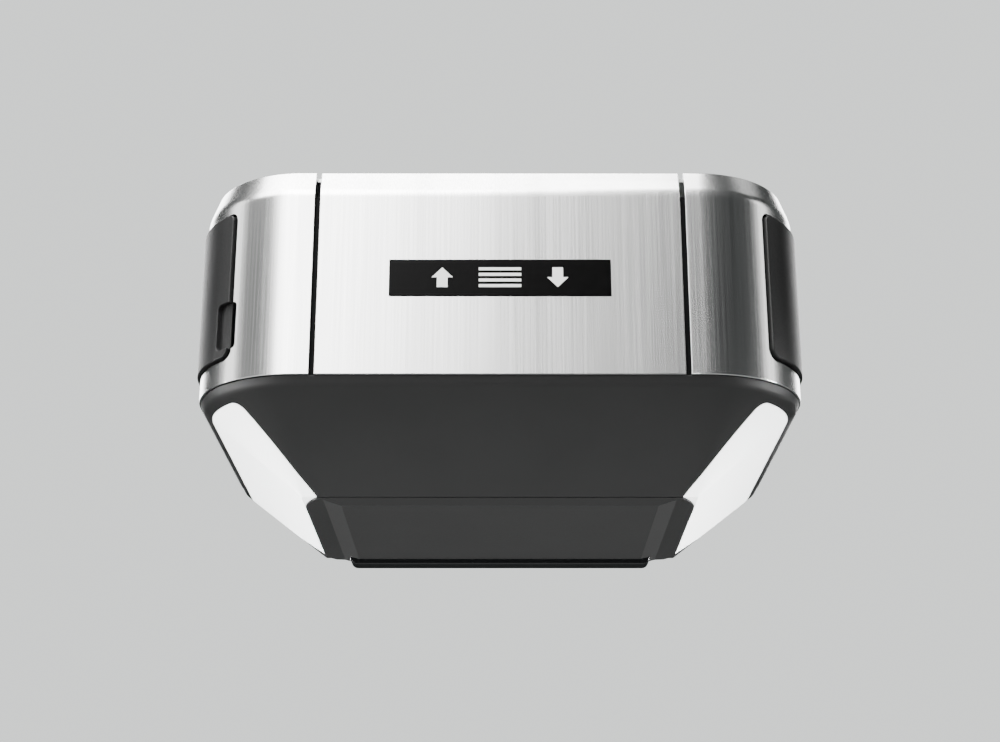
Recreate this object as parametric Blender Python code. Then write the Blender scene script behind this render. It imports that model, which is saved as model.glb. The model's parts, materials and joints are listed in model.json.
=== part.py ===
"""Ceiling-mounted garage door opener head: metal band, plastic hull with light lenses, drive and electronics.

The frame has +Z up, X across the width and -Y towards the front panel. The origin is the middle of the
rail saddle's top face. Sizes below are millimetres, and MM turns them into Blender's metres.
"""

import math

import bmesh
import bpy
from mathutils import Matrix, Vector

MM = 0.001

# ---- driving dimensions, millimetres -------------------------------------------------------------

# Overall body
BODY_WIDTH = 324.0
BODY_DEPTH = 236.0
BAND_HEIGHT = 115.5
BAND_DROP = 8.0  # rail saddle face above the band's top edge
SADDLE_BACK = 140.0  # rail saddle centre behind the front panel
FRONT_RADIUS = 57.0
REAR_RADIUS = 20.0
LEAST_RADIUS = 1.0
FIT = 0.3  # clearance between pieces that sit against each other

# Metal band
SKIN = 1.5
SEAM_X = 96.5
SEAM_GAP = 2.6
TOP_STRIP = 13.5  # height of the band's top strip, which leans back
TOP_LEAN = 5.0
BEND_SOFTNESS = 1.0  # half height of the soft bend under the top strip

# Inner frame behind the band
FRAME_GAP = 0.7
FRAME_WALL = 2.4
FRAME_SHORT = 2.0  # frame's top edge under the top strip
FRAME_RAIL = 11.0
FRAME_SEAM_COVER = 8.0

# Hull
HULL_GAP = 1.0
HULL_RIM = 5.0
HULL_DROP = 49.5
HULL_INSET = 56.5
HULL_REAR_SHARE = 0.66
HULL_WALL = 3.2
HULL_LIP = 12.0
LIP_WALL = 2.2

# Bottom tray
TRAY_DROP = 53.2
TRAY_STEP_DROP = 50.7
TRAY_FLAT_X = 84.5
TRAY_STEP_X = 94.0
TRAY_EDGE = 0.4  # thickness of the tray's thin side edge
TRAY_FRONT_SLOPE = 4.4  # how far the front face leans back over the tray's thickness
TRAY_SWEEP = 23.0
TRAY_CORNER = 8.0
TRAY_REAR_CORNER = 6.0
SENSOR_DEPTH = 13.0
SENSOR_DROP = 56.0
SENSOR_WIDTH = 180.0
SENSOR_RADIUS = 4.0

# Light lenses
LENS_EDGE = 7.5  # lens edge inside the body's side
LENS_WRAP = 8.2
LENS_TIP_RADIUS = 6.0
LENS_BOW = 1.6  # how far the front end's inner edge bows out over the hull
LED_BOARD_WIDTH = 36.0
LED_BOARD_LENGTH = 130.0
LED_BOARD_THICK = 1.6
LED_BOARD_INSET = 32.25  # board's middle inside the body's side
LED_BOARD_DROP = 1.5
LED_CHIP = 4.0
LED_CHIP_HEIGHT = 1.2
LED_COUNT = 6

# Side door and side cover
DOOR_BOTTOM = 13.8
DOOR_TOP = 94.5
DOOR_ANGLE = 39.3  # front edge on the front corner's arc, degrees from the front
DOOR_PROUD = 1.8
DOOR_WALL = 3.4
DOOR_GAP = 1.3
DOOR_TOP_RADIUS = 3.5
DOOR_BOTTOM_RADIUS = 5.0
HINGE_AHEAD = 52.0  # hinge axis ahead of the rear panel
HINGE_INSET = 4.2
HINGE_TAIL = 2.4
HINGE_ROOM = 6.8
PIN_DIAMETER = 2.4
PIN_REACH = 4.0  # pin ends beyond the door's lower and upper edges
KNUCKLE_DIAMETER = 6.4
KNUCKLE_END = 8.0
HINGE_LUG = 5.0
NOTCH_BOTTOM = 18.5
NOTCH_TOP = 44.0
NOTCH_IN_DOOR = 9.0
NOTCH_IN_BAND = 2.5
NOTCH_RADIUS = 2.0

# Badge plate on the front panel
BADGE_WIDTH = 115.5
BADGE_HEIGHT = 20.2
BADGE_MIDDLE = 52.9
BADGE_THICK = 0.8

# Rear panel
REAR_WALL = 1.9

# Chassis, saddle and hanging brackets
CHASSIS_THICK = 2.0
CHASSIS_INSET = 9.0
CHASSIS_SINK = 1.6  # chassis top under the band's top edge
SADDLE_WIDTH = 60.0
SADDLE_LENGTH = 64.0
SADDLE_WALL = 2.5
SADDLE_FLANGE = 16.0
RAIL_HOLE = 8.4
RAIL_HOLE_END = 12.0
BRACKET_X = 112.0
BRACKET_Y = 150.0
BRACKET_WIDTH = 30.0
BRACKET_HEIGHT = 28.0
BRACKET_THICK = 2.5
BRACKET_FOOT = 24.0
BRACKET_HOLE = 8.0
BRACKET_HOLE_DROP = 9.0

# Worm gear
GEAR_MODULE = 1.5
WHEEL_TEETH = 32
WORM_PITCH_RADIUS = 8.0
WHEEL_WIDTH = 12.0
GEAR_BACKLASH = 0.36
PRESSURE_ANGLE = 20.0  # degrees
DEDENDUM_SHARE = 1.2
WHEEL_HUB_WALL = 5.0
WHEEL_HUB_PROUD = 3.0
SHAFT_AHEAD = 151.0  # output shaft ahead of the rear panel
WORM_DROP = 37.0  # worm axis under the chassis plate's top
OUTPUT_DIAMETER = 12.0
WORM_SHAFT_DIAMETER = 8.0
WORM_HALF_LENGTH = 15.0

# Gearbox
GEARBOX_WALL = 4.0
GEARBOX_ROOM = 1.5
GEARBOX_BELOW = 12.0
LID_THICK = 4.0
GEARBOX_CORNER = 5.0
BUSH_WALL = 2.5
BUSH_FLANGE = 1.5
BUSH_RIM = 2.0
CLIP_THICK = 1.0
CLIP_GROOVE = 0.8
CLIP_PROUD = 2.2

# Sprocket
SPROCKET_TEETH = 16
SPROCKET_RADIUS = 13.0
SPROCKET_HEIGHT = 10.0
SPROCKET_FLANGE = 1.2
SPROCKET_RISE = 6.0  # sprocket underside above the chassis plate
COVER_WALL = 2.0
COVER_ROOM = 4.0
COVER_TOP = 14.5

# Motor
MOTOR_DIAMETER = 60.0
MOTOR_LENGTH = 78.0
MOTOR_WALL = 2.0
MOTOR_BOSS = 24.0
MOTOR_GAP = 4.0  # motor face beyond the gearbox wall
MAGNET_THICK = 5.0
MAGNET_SPAN = 130.0
ROTOR_GAP = 0.8
ROTOR_POLES = 8
ROTOR_SLOT = 6.0
ROTOR_END_ROOM = 11.1
MAGNET_OVERLAP = 4.0
END_CAP_THICK = 8.0
BEARING_OUTER = 19.0
BEARING_WIDTH = 6.0
BEARING_RACE = 1.6
RPM_WHEEL_DIAMETER = 26.0
RPM_SLOTS = 6
RPM_WALL = 1.2
RPM_DEPTH = 6.0

# Travel sensing gears
TRAVEL_TEETH = 24
TRAVEL_MODULE = 1.0
TRAVEL_WIDTH = 5.0
TRAVEL_DROP = 9.0  # gears' underside below the gearbox
TRAVEL_SPREAD = 0.2  # added to the gears' centre distance
TRAVEL_STUB = 5.0
TRAVEL_CASE = (26.0, 22.0, 14.0)
SMALL_BACKLASH = 0.4

# Battery
BATTERY_WIDTH = 90.0
BATTERY_LENGTH = 101.0
BATTERY_HEIGHT = 70.0
BATTERY_SIDE = 12.0
BATTERY_AHEAD = 18.0  # battery's middle ahead of the middle of the straight side
BATTERY_TOP = 24.0
TRAY_WALL = 2.5

# Logic board and what it carries
BOARD_WIDTH = 170.0
BOARD_HEIGHT = 74.0
BOARD_THICK = 1.6
BOARD_BACK = 15.0  # board's rear face in front of the rear panel's outer face
BOARD_X = 0.0
BOARD_BASE = 20.0
BUTTONS = ("up_button", "adjust_button", "down_button", "learn_button")
BUTTON_DIAMETER = 9.0
BUTTON_PROUD = 2.4
BUTTON_TRAVEL = 1.2
BUTTON_SPACING = 18.0
BUTTON_X = -52.0
BUTTON_HEIGHT = 62.0
BUTTON_FLANGE = 1.2
BUTTON_RIM = 1.5
SWITCH_SIZE = 6.0
TERMINAL_COUNT = 4
TERMINAL_PITCH = 9.0
TERMINAL_X = 46.0
TERMINAL_HEIGHT = 62.0
TERMINAL_BODY = 16.0
TERMINAL_END = 1.5
TERMINAL_SUNK = 0.8
WIRE_HOLE = 3.2
WIRE_HOLE_DROP = 3.6
TAB_WIDTH = 6.0
TAB_HEIGHT = 5.0
TAB_TRAVEL = 2.0
TAB_DEPTH = 9.0
TAB_RISE = 1.2
TAB_PROUD = 3.0
GLAND_X = 80.0
GLAND_HEIGHT = 30.0
GLAND_DIAMETER = 16.0
GLAND_BORE = 7.5
RELAY_SIZE = (18.0, 15.0, 15.0)
RELAY_X = -62.0
RELAY_PITCH = 24.0
RELAY_RISE = 8.0
CAPACITOR_DIAMETER = 16.0
CAPACITOR_LENGTH = 26.0
CAPACITOR_X = 10.0
CAPACITOR_RISE = 18.0

# Transformer
TRANSFORMER_WIDTH = 62.0
TRANSFORMER_DEPTH = 50.0
TRANSFORMER_HEIGHT = 54.0
TRANSFORMER_ASIDE = 14.0  # beside the gearbox
TRANSFORMER_BEHIND = 7.0  # behind the motor
COIL_END = 12.0
COIL_PROUD = 4.0

# ---- places worked out from them -----------------------------------------------------------------

HALF_WIDTH = BODY_WIDTH / 2
FRONT = -SADDLE_BACK
REAR = FRONT + BODY_DEPTH
BAND_TOP = -BAND_DROP
BAND_BASE = BAND_TOP - BAND_HEIGHT
FRAME_INSET = SKIN + FRAME_GAP
CHASSIS_TOP = BAND_TOP - CHASSIS_SINK
CHASSIS_BASE = CHASSIS_TOP - CHASSIS_THICK
WHEEL_PITCH_RADIUS = GEAR_MODULE * WHEEL_TEETH / 2
WHEEL_TIP_RADIUS = WHEEL_PITCH_RADIUS + GEAR_MODULE
GEAR_DEDENDUM = DEDENDUM_SHARE * GEAR_MODULE
WORM_TIP_RADIUS = WORM_PITCH_RADIUS + GEAR_MODULE
WORM_ROOT_RADIUS = WORM_PITCH_RADIUS - GEAR_DEDENDUM
WORM_LEAD = math.pi * GEAR_MODULE
SHAFT_PLACE = REAR - SHAFT_AHEAD
WORM_PLACE = SHAFT_PLACE + WHEEL_PITCH_RADIUS + WORM_PITCH_RADIUS
WORM_HEIGHT = CHASSIS_TOP - WORM_DROP
BOX_HALF = WHEEL_TIP_RADIUS + GEARBOX_ROOM + GEARBOX_WALL
BOX_FRONT = SHAFT_PLACE - BOX_HALF
BOX_REAR = WORM_PLACE + WORM_TIP_RADIUS + GEARBOX_ROOM + GEARBOX_WALL
BOX_SIDE = max(BOX_HALF, WORM_HALF_LENGTH + BEARING_WIDTH + GEARBOX_WALL + 2 * FIT)
LID_TOP = CHASSIS_BASE - FIT
BOX_TOP = LID_TOP - LID_THICK - FIT
BOX_BASE = WORM_HEIGHT - GEARBOX_BELOW - GEARBOX_WALL
OUTPUT_RADIUS = OUTPUT_DIAMETER / 2
BUSH_RADIUS = OUTPUT_RADIUS + BUSH_WALL
TRAVEL_LOW = BOX_BASE - TRAVEL_DROP
TRAVEL_PITCH_RADIUS = TRAVEL_MODULE * TRAVEL_TEETH / 2
TRAVEL_PLACE = SHAFT_PLACE - 2 * TRAVEL_PITCH_RADIUS - TRAVEL_SPREAD
MOTOR_FACE = BOX_SIDE + MOTOR_GAP
MOTOR_END = MOTOR_FACE + MOTOR_LENGTH
MOTOR_RADIUS = MOTOR_DIAMETER / 2
ROTOR_RADIUS = MOTOR_RADIUS - MOTOR_WALL - FIT - MAGNET_THICK - ROTOR_GAP
SPROCKET_BASE = CHASSIS_TOP + SPROCKET_RISE
SPROCKET_TOP = SPROCKET_BASE + SPROCKET_HEIGHT
DOOR_Z = (BAND_BASE + DOOR_BOTTOM, BAND_BASE + DOOR_TOP)
HINGE_PLACE = (HALF_WIDTH - HINGE_INSET, REAR - HINGE_AHEAD)
BOARD_REAR = REAR - BOARD_BACK
BOARD_FRONT = BOARD_REAR - BOARD_THICK
BUTTON_Z = BAND_BASE + BUTTON_HEIGHT
TERMINAL_Z = BAND_BASE + TERMINAL_HEIGHT
TERMINAL_FACE = REAR - TERMINAL_SUNK
GLAND_Z = BAND_BASE + GLAND_HEIGHT
REAR_INNER = REAR - REAR_WALL
TRANSFORMER_LEFT = BOX_SIDE + TRANSFORMER_ASIDE
TRANSFORMER_FRONT = WORM_PLACE + MOTOR_RADIUS + TRANSFORMER_BEHIND

# ---- materials -----------------------------------------------------------------------------------

FINISHES = {
    "brushed_metal": ((0.62, 0.62, 0.61), 0.32, 1.0),
    "black_plastic": ((0.012, 0.012, 0.012), 0.45, 0.0),
    "hull_plastic": ((0.035, 0.035, 0.035), 0.42, 0.0),
    "tray_plastic": ((0.05, 0.05, 0.05), 0.5, 0.0),
    "cover_plastic": ((0.05, 0.05, 0.05), 0.6, 0.0),
    "lens_plastic": ((0.85, 0.86, 0.85), 0.35, 0.0),
    "zinc_steel": ((0.55, 0.55, 0.53), 0.4, 1.0),
    "gear_steel": ((0.3, 0.3, 0.31), 0.35, 1.0),
    "gear_nylon": ((0.75, 0.73, 0.66), 0.5, 0.0),
    "bronze": ((0.45, 0.28, 0.11), 0.4, 1.0),
    "cast_aluminium": ((0.5, 0.5, 0.5), 0.55, 1.0),
    "board_green": ((0.02, 0.13, 0.05), 0.5, 0.0),
    "battery_grey": ((0.09, 0.09, 0.1), 0.5, 0.0),
    "button_yellow": ((0.75, 0.52, 0.03), 0.45, 0.0),
    "ferrite": ((0.06, 0.06, 0.06), 0.7, 0.0),
}


def finish(name):
    """The named material, made on its first use."""
    found = bpy.data.materials.get(name)
    if found:
        return found
    colour, roughness, metallic = FINISHES[name]
    made = bpy.data.materials.new(name)
    made.use_nodes = True
    shader = made.node_tree.nodes["Principled BSDF"]
    shader.inputs["Base Color"].default_value = (*colour, 1.0)
    shader.inputs["Roughness"].default_value = roughness
    shader.inputs["Metallic"].default_value = metallic
    made.diffuse_color = (*colour, 1.0)
    return made


# ---- mesh helpers --------------------------------------------------------------------------------


def make_object(name, shape, material=None, turn=None, smooth=True):
    """An object from a bmesh in millimetres. The place is in its mesh."""
    if turn:
        bmesh.ops.transform(shape, matrix=turn, verts=shape.verts)
    bmesh.ops.scale(shape, vec=(MM, MM, MM), verts=shape.verts)
    bmesh.ops.recalc_face_normals(shape, faces=shape.faces)
    mesh = bpy.data.meshes.new(name)
    shape.to_mesh(mesh)
    shape.free()
    made = bpy.data.objects.new(name, mesh)
    bpy.context.scene.collection.objects.link(made)
    if material:
        mesh.materials.append(finish(material))
    if smooth:
        mesh.shade_smooth()
        mesh.set_sharp_from_angle(angle=math.radians(35))
    return made


def block(low, high):
    """A bmesh box between two corners."""
    shape = bmesh.new()
    bmesh.ops.create_cube(shape, size=1.0)
    size = [h - l for l, h in zip(low, high)]
    middle = [(h + l) / 2 for l, h in zip(low, high)]
    bmesh.ops.scale(shape, vec=size, verts=shape.verts)
    bmesh.ops.translate(shape, vec=middle, verts=shape.verts)
    return shape


def round_edges(shape, edges, radius, segments=2):
    """Bevels edges to a radius."""
    bmesh.ops.bevel(
        shape, geom=edges, offset=radius, offset_type="OFFSET", affect="EDGES", segments=segments, profile=0.5
    )


def soft_block(low, high, radius, segments=2):
    """A box with its upright edges rounded."""
    shape = block(low, high)
    upright = [e for e in shape.edges if abs(e.verts[0].co.z - e.verts[1].co.z) > (high[2] - low[2]) / 2]
    round_edges(shape, upright, radius, segments)
    return shape


def upright_to(axis):
    """The turn that takes +Z to the named axis."""
    turns = {
        "X": Matrix.Rotation(math.radians(90), 4, "Y"),
        "Y": Matrix.Rotation(math.radians(-90), 4, "X"),
        "Z": Matrix.Identity(4),
    }
    return turns[axis]


def rod(radius, start, end, axis="Z", at=(0.0, 0.0, 0.0), segments=32):
    """A round bar along an axis through `at`, from start to end on that axis."""
    shape = bmesh.new()
    bmesh.ops.create_cone(
        shape, cap_ends=True, segments=segments, radius1=radius, radius2=radius, depth=end - start
    )
    bmesh.ops.translate(shape, vec=(0, 0, (start + end) / 2), verts=shape.verts)
    bmesh.ops.transform(shape, matrix=Matrix.Translation(at) @ upright_to(axis), verts=shape.verts)
    return shape


def turned(profile, axis="Z", at=(0.0, 0.0, 0.0), segments=32):
    """A turned solid from (radius, height) points. A profile off the axis makes a ring."""
    shape = bmesh.new()
    on_axis = profile[0][0] == 0 and profile[-1][0] == 0
    verts = [shape.verts.new((r, 0, h)) for r, h in profile]
    pairs = list(zip(verts, verts[1:]))
    if not on_axis:
        pairs.append((verts[-1], verts[0]))
    edges = [shape.edges.new(pair) for pair in pairs]
    bmesh.ops.spin(
        shape,
        geom=verts + edges,
        cent=(0, 0, 0),
        axis=(0, 0, 1),
        angle=math.tau,
        steps=segments,
        use_merge=True,
    )
    bmesh.ops.remove_doubles(shape, verts=shape.verts, dist=0.0005)
    bmesh.ops.transform(shape, matrix=Matrix.Translation(at) @ upright_to(axis), verts=shape.verts)
    return shape


def loft(sections, closed=False):
    """A solid skinned over sections of equal point counts. A closed loft joins its two end sections."""
    shape = bmesh.new()
    rings = [[shape.verts.new(point) for point in section] for section in sections]
    pairs = list(zip(rings, rings[1:]))
    if closed:
        pairs.append((rings[-1], rings[0]))
    for ring, following in pairs:
        for i, vert in enumerate(ring):
            j = (i + 1) % len(ring)
            shape.faces.new((vert, ring[j], following[j], following[i]))
    if not closed:
        shape.faces.new(rings[0])
        shape.faces.new(rings[-1])
    return shape


def prism(outline, low, high):
    """An upright solid over a plan outline."""
    return loft([[(x, y, z) for x, y in outline] for z in (low, high)])


def slab(outline, low, high):
    """A solid along Y over an (x, z) outline."""
    return loft([[(x, y, z) for x, z in outline] for y in (low, high)])


def arc(centre, radius, start, stop, steps):
    """Plan points round a centre, angles in degrees from +X."""
    angles = [math.radians(start + (stop - start) * i / steps) for i in range(steps + 1)]
    return [(centre[0] + radius * math.cos(a), centre[1] + radius * math.sin(a)) for a in angles]


def boolean(target, name, shape, operation="DIFFERENCE"):
    """Cuts, joins or intersects a target with a helper shape in millimetres."""
    helper = make_object(name, shape, smooth=False)
    helper.hide_render = True
    helper.display_type = "WIRE"
    step = target.modifiers.new(name, "BOOLEAN")
    step.object = helper
    step.operation = operation
    step.solver = "EXACT"


def side_path(inset, front_x, rear_x, rear_share=1.0, front_steps=10, rear_steps=5):
    """Plan points along the body's +X side at an inset, from the front panel's plane to the rear's.

    Past the hull's upright rim, the rear is drawn in by only a share of the inset.
    """
    front_r = max(FRONT_RADIUS - inset, LEAST_RADIUS)
    rear_r = max(REAR_RADIUS - inset, LEAST_RADIUS)
    rear_inset = inset * rear_share if inset > HULL_GAP + HULL_WALL else inset
    front_centre = (HALF_WIDTH - inset - front_r, FRONT + inset + front_r)
    rear_centre = (HALF_WIDTH - inset - rear_r, REAR - rear_inset - rear_r)
    points = [(front_x, FRONT + inset)]
    points += arc(front_centre, front_r, -90, 0, front_steps)
    points += arc(rear_centre, rear_r, 0, 90, rear_steps)
    return points + [(rear_x, REAR - rear_inset)]


def mirrored(points):
    """The points' mirror images across the middle, in the same order."""
    return [(-point[0], *point[1:]) for point in points]


def wall_sections(profile, front_x, rear_x, rear_share=1.0):
    """Sections of a wall whose (inset, height) profile runs round the body's +X side."""
    paths = [side_path(inset, front_x, rear_x, rear_share) for inset, _ in profile]
    heights = [height for _, height in profile]
    return [[(*path[k], height) for path, height in zip(paths, heights)] for k in range(len(paths[0]))]


def ring_sections(profile, join_x, rear_share=1.0):
    """Sections of a wall that runs all the way round the body."""
    right = wall_sections(profile, join_x, join_x, rear_share)
    left = [mirrored(section) for section in reversed(right)]
    return right + left


def skin_profile(wall):
    """Band skin in (inset, height): upright, with a top strip that leans back."""
    bend = BAND_TOP - TOP_STRIP
    lean = TOP_LEAN / TOP_STRIP
    past_bend = (BEND_SOFTNESS * lean * 0.3, bend + BEND_SOFTNESS)
    outer = [(0, BAND_BASE), (0, bend - BEND_SOFTNESS), past_bend, (TOP_LEAN, BAND_TOP)]
    return outer + [(inset + wall, height) for inset, height in reversed(outer)]


# ---- outer skin ----------------------------------------------------------------------------------


def build_front_panel():
    """Flat metal panel between the two seams."""
    half = SEAM_X - SEAM_GAP / 2
    profile = [(FRONT + inset, height) for inset, height in skin_profile(SKIN)]
    sections = [[(x, y, z) for y, z in profile] for x in (-half, half)]
    make_object("front_panel", loft(sections), "brushed_metal")


def build_badge():
    """Thin blank plate on the front panel."""
    middle = BAND_BASE + BADGE_MIDDLE
    face = FRONT - FIT / 2
    shape = block(
        (-BADGE_WIDTH / 2, face - BADGE_THICK, middle - BADGE_HEIGHT / 2),
        (BADGE_WIDTH / 2, face, middle + BADGE_HEIGHT / 2),
    )
    make_object("badge_plate", shape, "black_plastic")


def door_sections(grow, outer, inner, tail_y):
    """Sections of the curved side door between two insets, grown by a gap at its edges.

    The front corners are rounded by letting the section's height follow a quarter circle.
    """
    low = DOOR_Z[0] - grow
    high = DOOR_Z[1] + grow
    start = DOOR_ANGLE - math.degrees(grow / FRONT_RADIUS)
    sections = []
    for turn in (0, 30, 60, 90):
        a = math.radians(turn)
        along = (DOOR_BOTTOM_RADIUS + grow) * (1 - math.cos(a))
        bottom = low + (DOOR_BOTTOM_RADIUS + grow) * (1 - math.sin(a))
        top = high - (DOOR_TOP_RADIUS + grow) * (1 - math.sin(a))
        sections.append((start + math.degrees(along / FRONT_RADIUS), bottom, top))
    last = sections[-1][0]
    steps = 6
    for i in range(1, steps + 1):
        sections.append((last + (90 - last) * i / steps, low, high))
    made = []
    centre = (HALF_WIDTH - FRONT_RADIUS, FRONT + FRONT_RADIUS)
    for angle, bottom, top in sections:
        a = math.radians(angle)
        row = []
        for inset, height in ((outer, bottom), (outer, top), (inner, top), (inner, bottom)):
            reach = FRONT_RADIUS - inset
            row.append((centre[0] + reach * math.sin(a), centre[1] - reach * math.cos(a), height))
        made.append(row)
    tail = ((outer, low), (outer, high), (inner, high), (inner, low))
    made.append([(HALF_WIDTH - inset, tail_y, height) for inset, height in tail])
    return made


def door_shape(left, grow=0.0, outer=-DOOR_PROUD, inner=DOOR_WALL - DOOR_PROUD, tail_y=None):
    """Solid of a side door, or of its opening when grown. Without tail_y it ends at the door's own tail."""
    if tail_y is None:
        tail_y = HINGE_PLACE[1] + HINGE_TAIL
    sections = door_sections(grow, outer, inner, tail_y)
    if left:
        sections = [mirrored(section) for section in sections]
    return loft(sections)


def door_opening(left):
    """Cutter for the hole that a side door or cover closes, through skin and frame."""
    reach = 6.0
    inner = FRAME_INSET + FRAME_WALL + reach
    return door_shape(left, DOOR_GAP, -reach, inner, HINGE_PLACE[1] + HINGE_ROOM)


def notch_shape(reach_in_band, reach_in_door):
    """Finger notch cutter across the left door's front edge, turned to the corner's arc."""
    reach = [-(reach_in_door + DOOR_GAP), reach_in_band + DOOR_GAP]
    low = BAND_BASE + NOTCH_BOTTOM
    high = BAND_BASE + NOTCH_TOP
    depth = 6.0
    shape = soft_block((-depth, reach[0], low), (depth, reach[1], high), 1.0)
    ends = [e for e in shape.edges if abs(e.verts[0].co.z - e.verts[1].co.z) < 0.01]
    flat = [e for e in ends if abs(e.verts[0].co.y - e.verts[1].co.y) < 0.01 and e.calc_length() > depth]
    round_edges(shape, flat, NOTCH_RADIUS)
    angle = math.radians(DOOR_ANGLE)
    centre = Vector((-(HALF_WIDTH - FRONT_RADIUS), FRONT + FRONT_RADIUS, 0))
    edge = centre + FRONT_RADIUS * Vector((-math.sin(angle), -math.cos(angle), 0))
    turn = Matrix.Translation(edge) @ Matrix.Rotation(-angle - math.radians(90), 4, "Z")
    bmesh.ops.transform(shape, matrix=turn, verts=shape.verts)
    return shape


def build_wrap(side):
    """Metal skin that wraps from the front seam round the corner and side to the rear seam."""
    left = side == "left"
    edge = SEAM_X + SEAM_GAP / 2
    sections = wall_sections(skin_profile(SKIN), edge, edge)
    if left:
        sections = [mirrored(section) for section in sections]
    wrap = make_object(f"wrap_{side}", loft(sections), "brushed_metal")
    boolean(wrap, f"cut_{side}_door_in_wrap", door_opening(left))
    if left:
        boolean(wrap, "cut_notch_in_wrap", notch_shape(NOTCH_IN_BAND, 0))


def build_inner_frame():
    """Black carrier behind the skins, with openings for the side doors and the rear controls."""
    low = BAND_BASE + FIT
    high = BAND_TOP - TOP_STRIP - FRAME_SHORT
    near = FRAME_INSET
    far = near + FRAME_WALL
    profile = [(near, low), (near, high), (far, high), (far, low)]
    frame = make_object("inner_frame", loft(ring_sections(profile, SEAM_X / 2), closed=True), "black_plastic")
    for side in ("left", "right"):
        boolean(frame, f"cut_{side}_door_in_frame", door_opening(side == "left"))
    window_x = SEAM_X - FRAME_SEAM_COVER
    window_z = (low + FRAME_RAIL, high - FRAME_RAIL)
    depth = far + 5
    rear_window = block((-window_x, REAR - depth, window_z[0]), (window_x, REAR + 2, window_z[1]))
    boolean(frame, "cut_rear_window", rear_window)
    front_window = block((-window_x, FRONT - 2, window_z[0]), (window_x, FRONT + depth, window_z[1]))
    boolean(frame, "cut_front_window", front_window)
    boolean(frame, "cut_notch_in_frame", notch_shape(NOTCH_IN_BAND, 0))
    lug_low_x = -HALF_WIDTH + FRAME_INSET
    for name, start, end in (
        ("lower", DOOR_Z[0] - DOOR_GAP - HINGE_LUG, DOOR_Z[0] - DOOR_GAP),
        ("upper", DOOR_Z[1] + DOOR_GAP, DOOR_Z[1] + DOOR_GAP + HINGE_LUG),
    ):
        lug = block(
            (lug_low_x + 0.1, HINGE_PLACE[1] - HINGE_LUG, start),
            (lug_low_x + 2 * HINGE_LUG, HINGE_PLACE[1] + HINGE_LUG, end),
        )
        boolean(frame, f"hinge_lug_{name}", lug, "UNION")
    at = (-HINGE_PLACE[0], HINGE_PLACE[1], 0)
    seat = PIN_REACH + 2 * FIT
    bore = rod(PIN_DIAMETER / 2 + FIT, DOOR_Z[0] - seat, DOOR_Z[1] + seat, at=at, segments=20)
    boolean(frame, "cut_pin_seats", bore)


def build_battery_door():
    """Curved side door with a finger notch and a hinge knuckle at its rear edge."""
    door = make_object("battery_door", door_shape(True), "cover_plastic")
    at = (-HINGE_PLACE[0], HINGE_PLACE[1], 0)
    low = DOOR_Z[0] + KNUCKLE_END
    high = DOOR_Z[1] - KNUCKLE_END
    boolean(door, "door_knuckle", rod(KNUCKLE_DIAMETER / 2, low, high, at=at, segments=20), "UNION")
    bore = rod(PIN_DIAMETER / 2 + FIT, DOOR_Z[0] - 5, DOOR_Z[1] + 5, at=at, segments=20)
    boolean(door, "door_pin_bore", bore)
    boolean(door, "cut_notch_in_door", notch_shape(0, NOTCH_IN_DOOR))


def build_hinge_pin():
    """Steel pin through the door's knuckle, seated in the frame's two lugs."""
    at = (-HINGE_PLACE[0], HINGE_PLACE[1], 0)
    pin = rod(PIN_DIAMETER / 2, DOOR_Z[0] - PIN_REACH, DOOR_Z[1] + PIN_REACH, at=at, segments=20)
    make_object("door_hinge_pin", pin, "zinc_steel")


def build_side_cover():
    """Fixed cover on the right, like the door but without notch or hinge."""
    tail_y = HINGE_PLACE[1] + HINGE_ROOM - DOOR_GAP
    make_object("side_cover", door_shape(False, tail_y=tail_y), "cover_plastic")


def build_rear_panel():
    """Flat rear panel between the rear seams, pierced for the controls, terminals and power inlet."""
    half = SEAM_X - SEAM_GAP / 2
    profile = [(REAR - inset, height) for inset, height in skin_profile(REAR_WALL)]
    sections = [[(x, y, z) for y, z in profile] for x in (-half, half)]
    panel = make_object("rear_panel", loft(sections), "tray_plastic")
    start = REAR - 20
    end = REAR + 5
    for i, name in enumerate(BUTTONS):
        boolean(panel, f"cut_{name}", rod(BUTTON_DIAMETER / 2 + FIT, start, end, "Y", button_place(i), 24))
    boolean(panel, "cut_terminals", terminal_body_box(FIT))
    gland_at = (GLAND_X, 0, GLAND_Z)
    boolean(panel, "cut_gland", rod(GLAND_DIAMETER / 2 + FIT, start, end, "Y", gland_at, 28))


# ---- hull, tray and lenses -----------------------------------------------------------------------


def hull_profile():
    """Hull wall in (inset, height): upright rim, long draft, then a lip that carries the tray."""
    top = BAND_BASE - FIT
    rim = BAND_BASE - HULL_RIM
    base = BAND_BASE - HULL_DROP
    lip = HULL_INSET + HULL_LIP
    return [
        (HULL_GAP, top),
        (HULL_GAP, rim),
        (HULL_INSET, base),
        (lip, base),
        (lip, base + LIP_WALL),
        (HULL_INSET + 1.0, base + LIP_WALL),
        (HULL_GAP + HULL_WALL, rim),
        (HULL_GAP + HULL_WALL, top),
    ]


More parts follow.
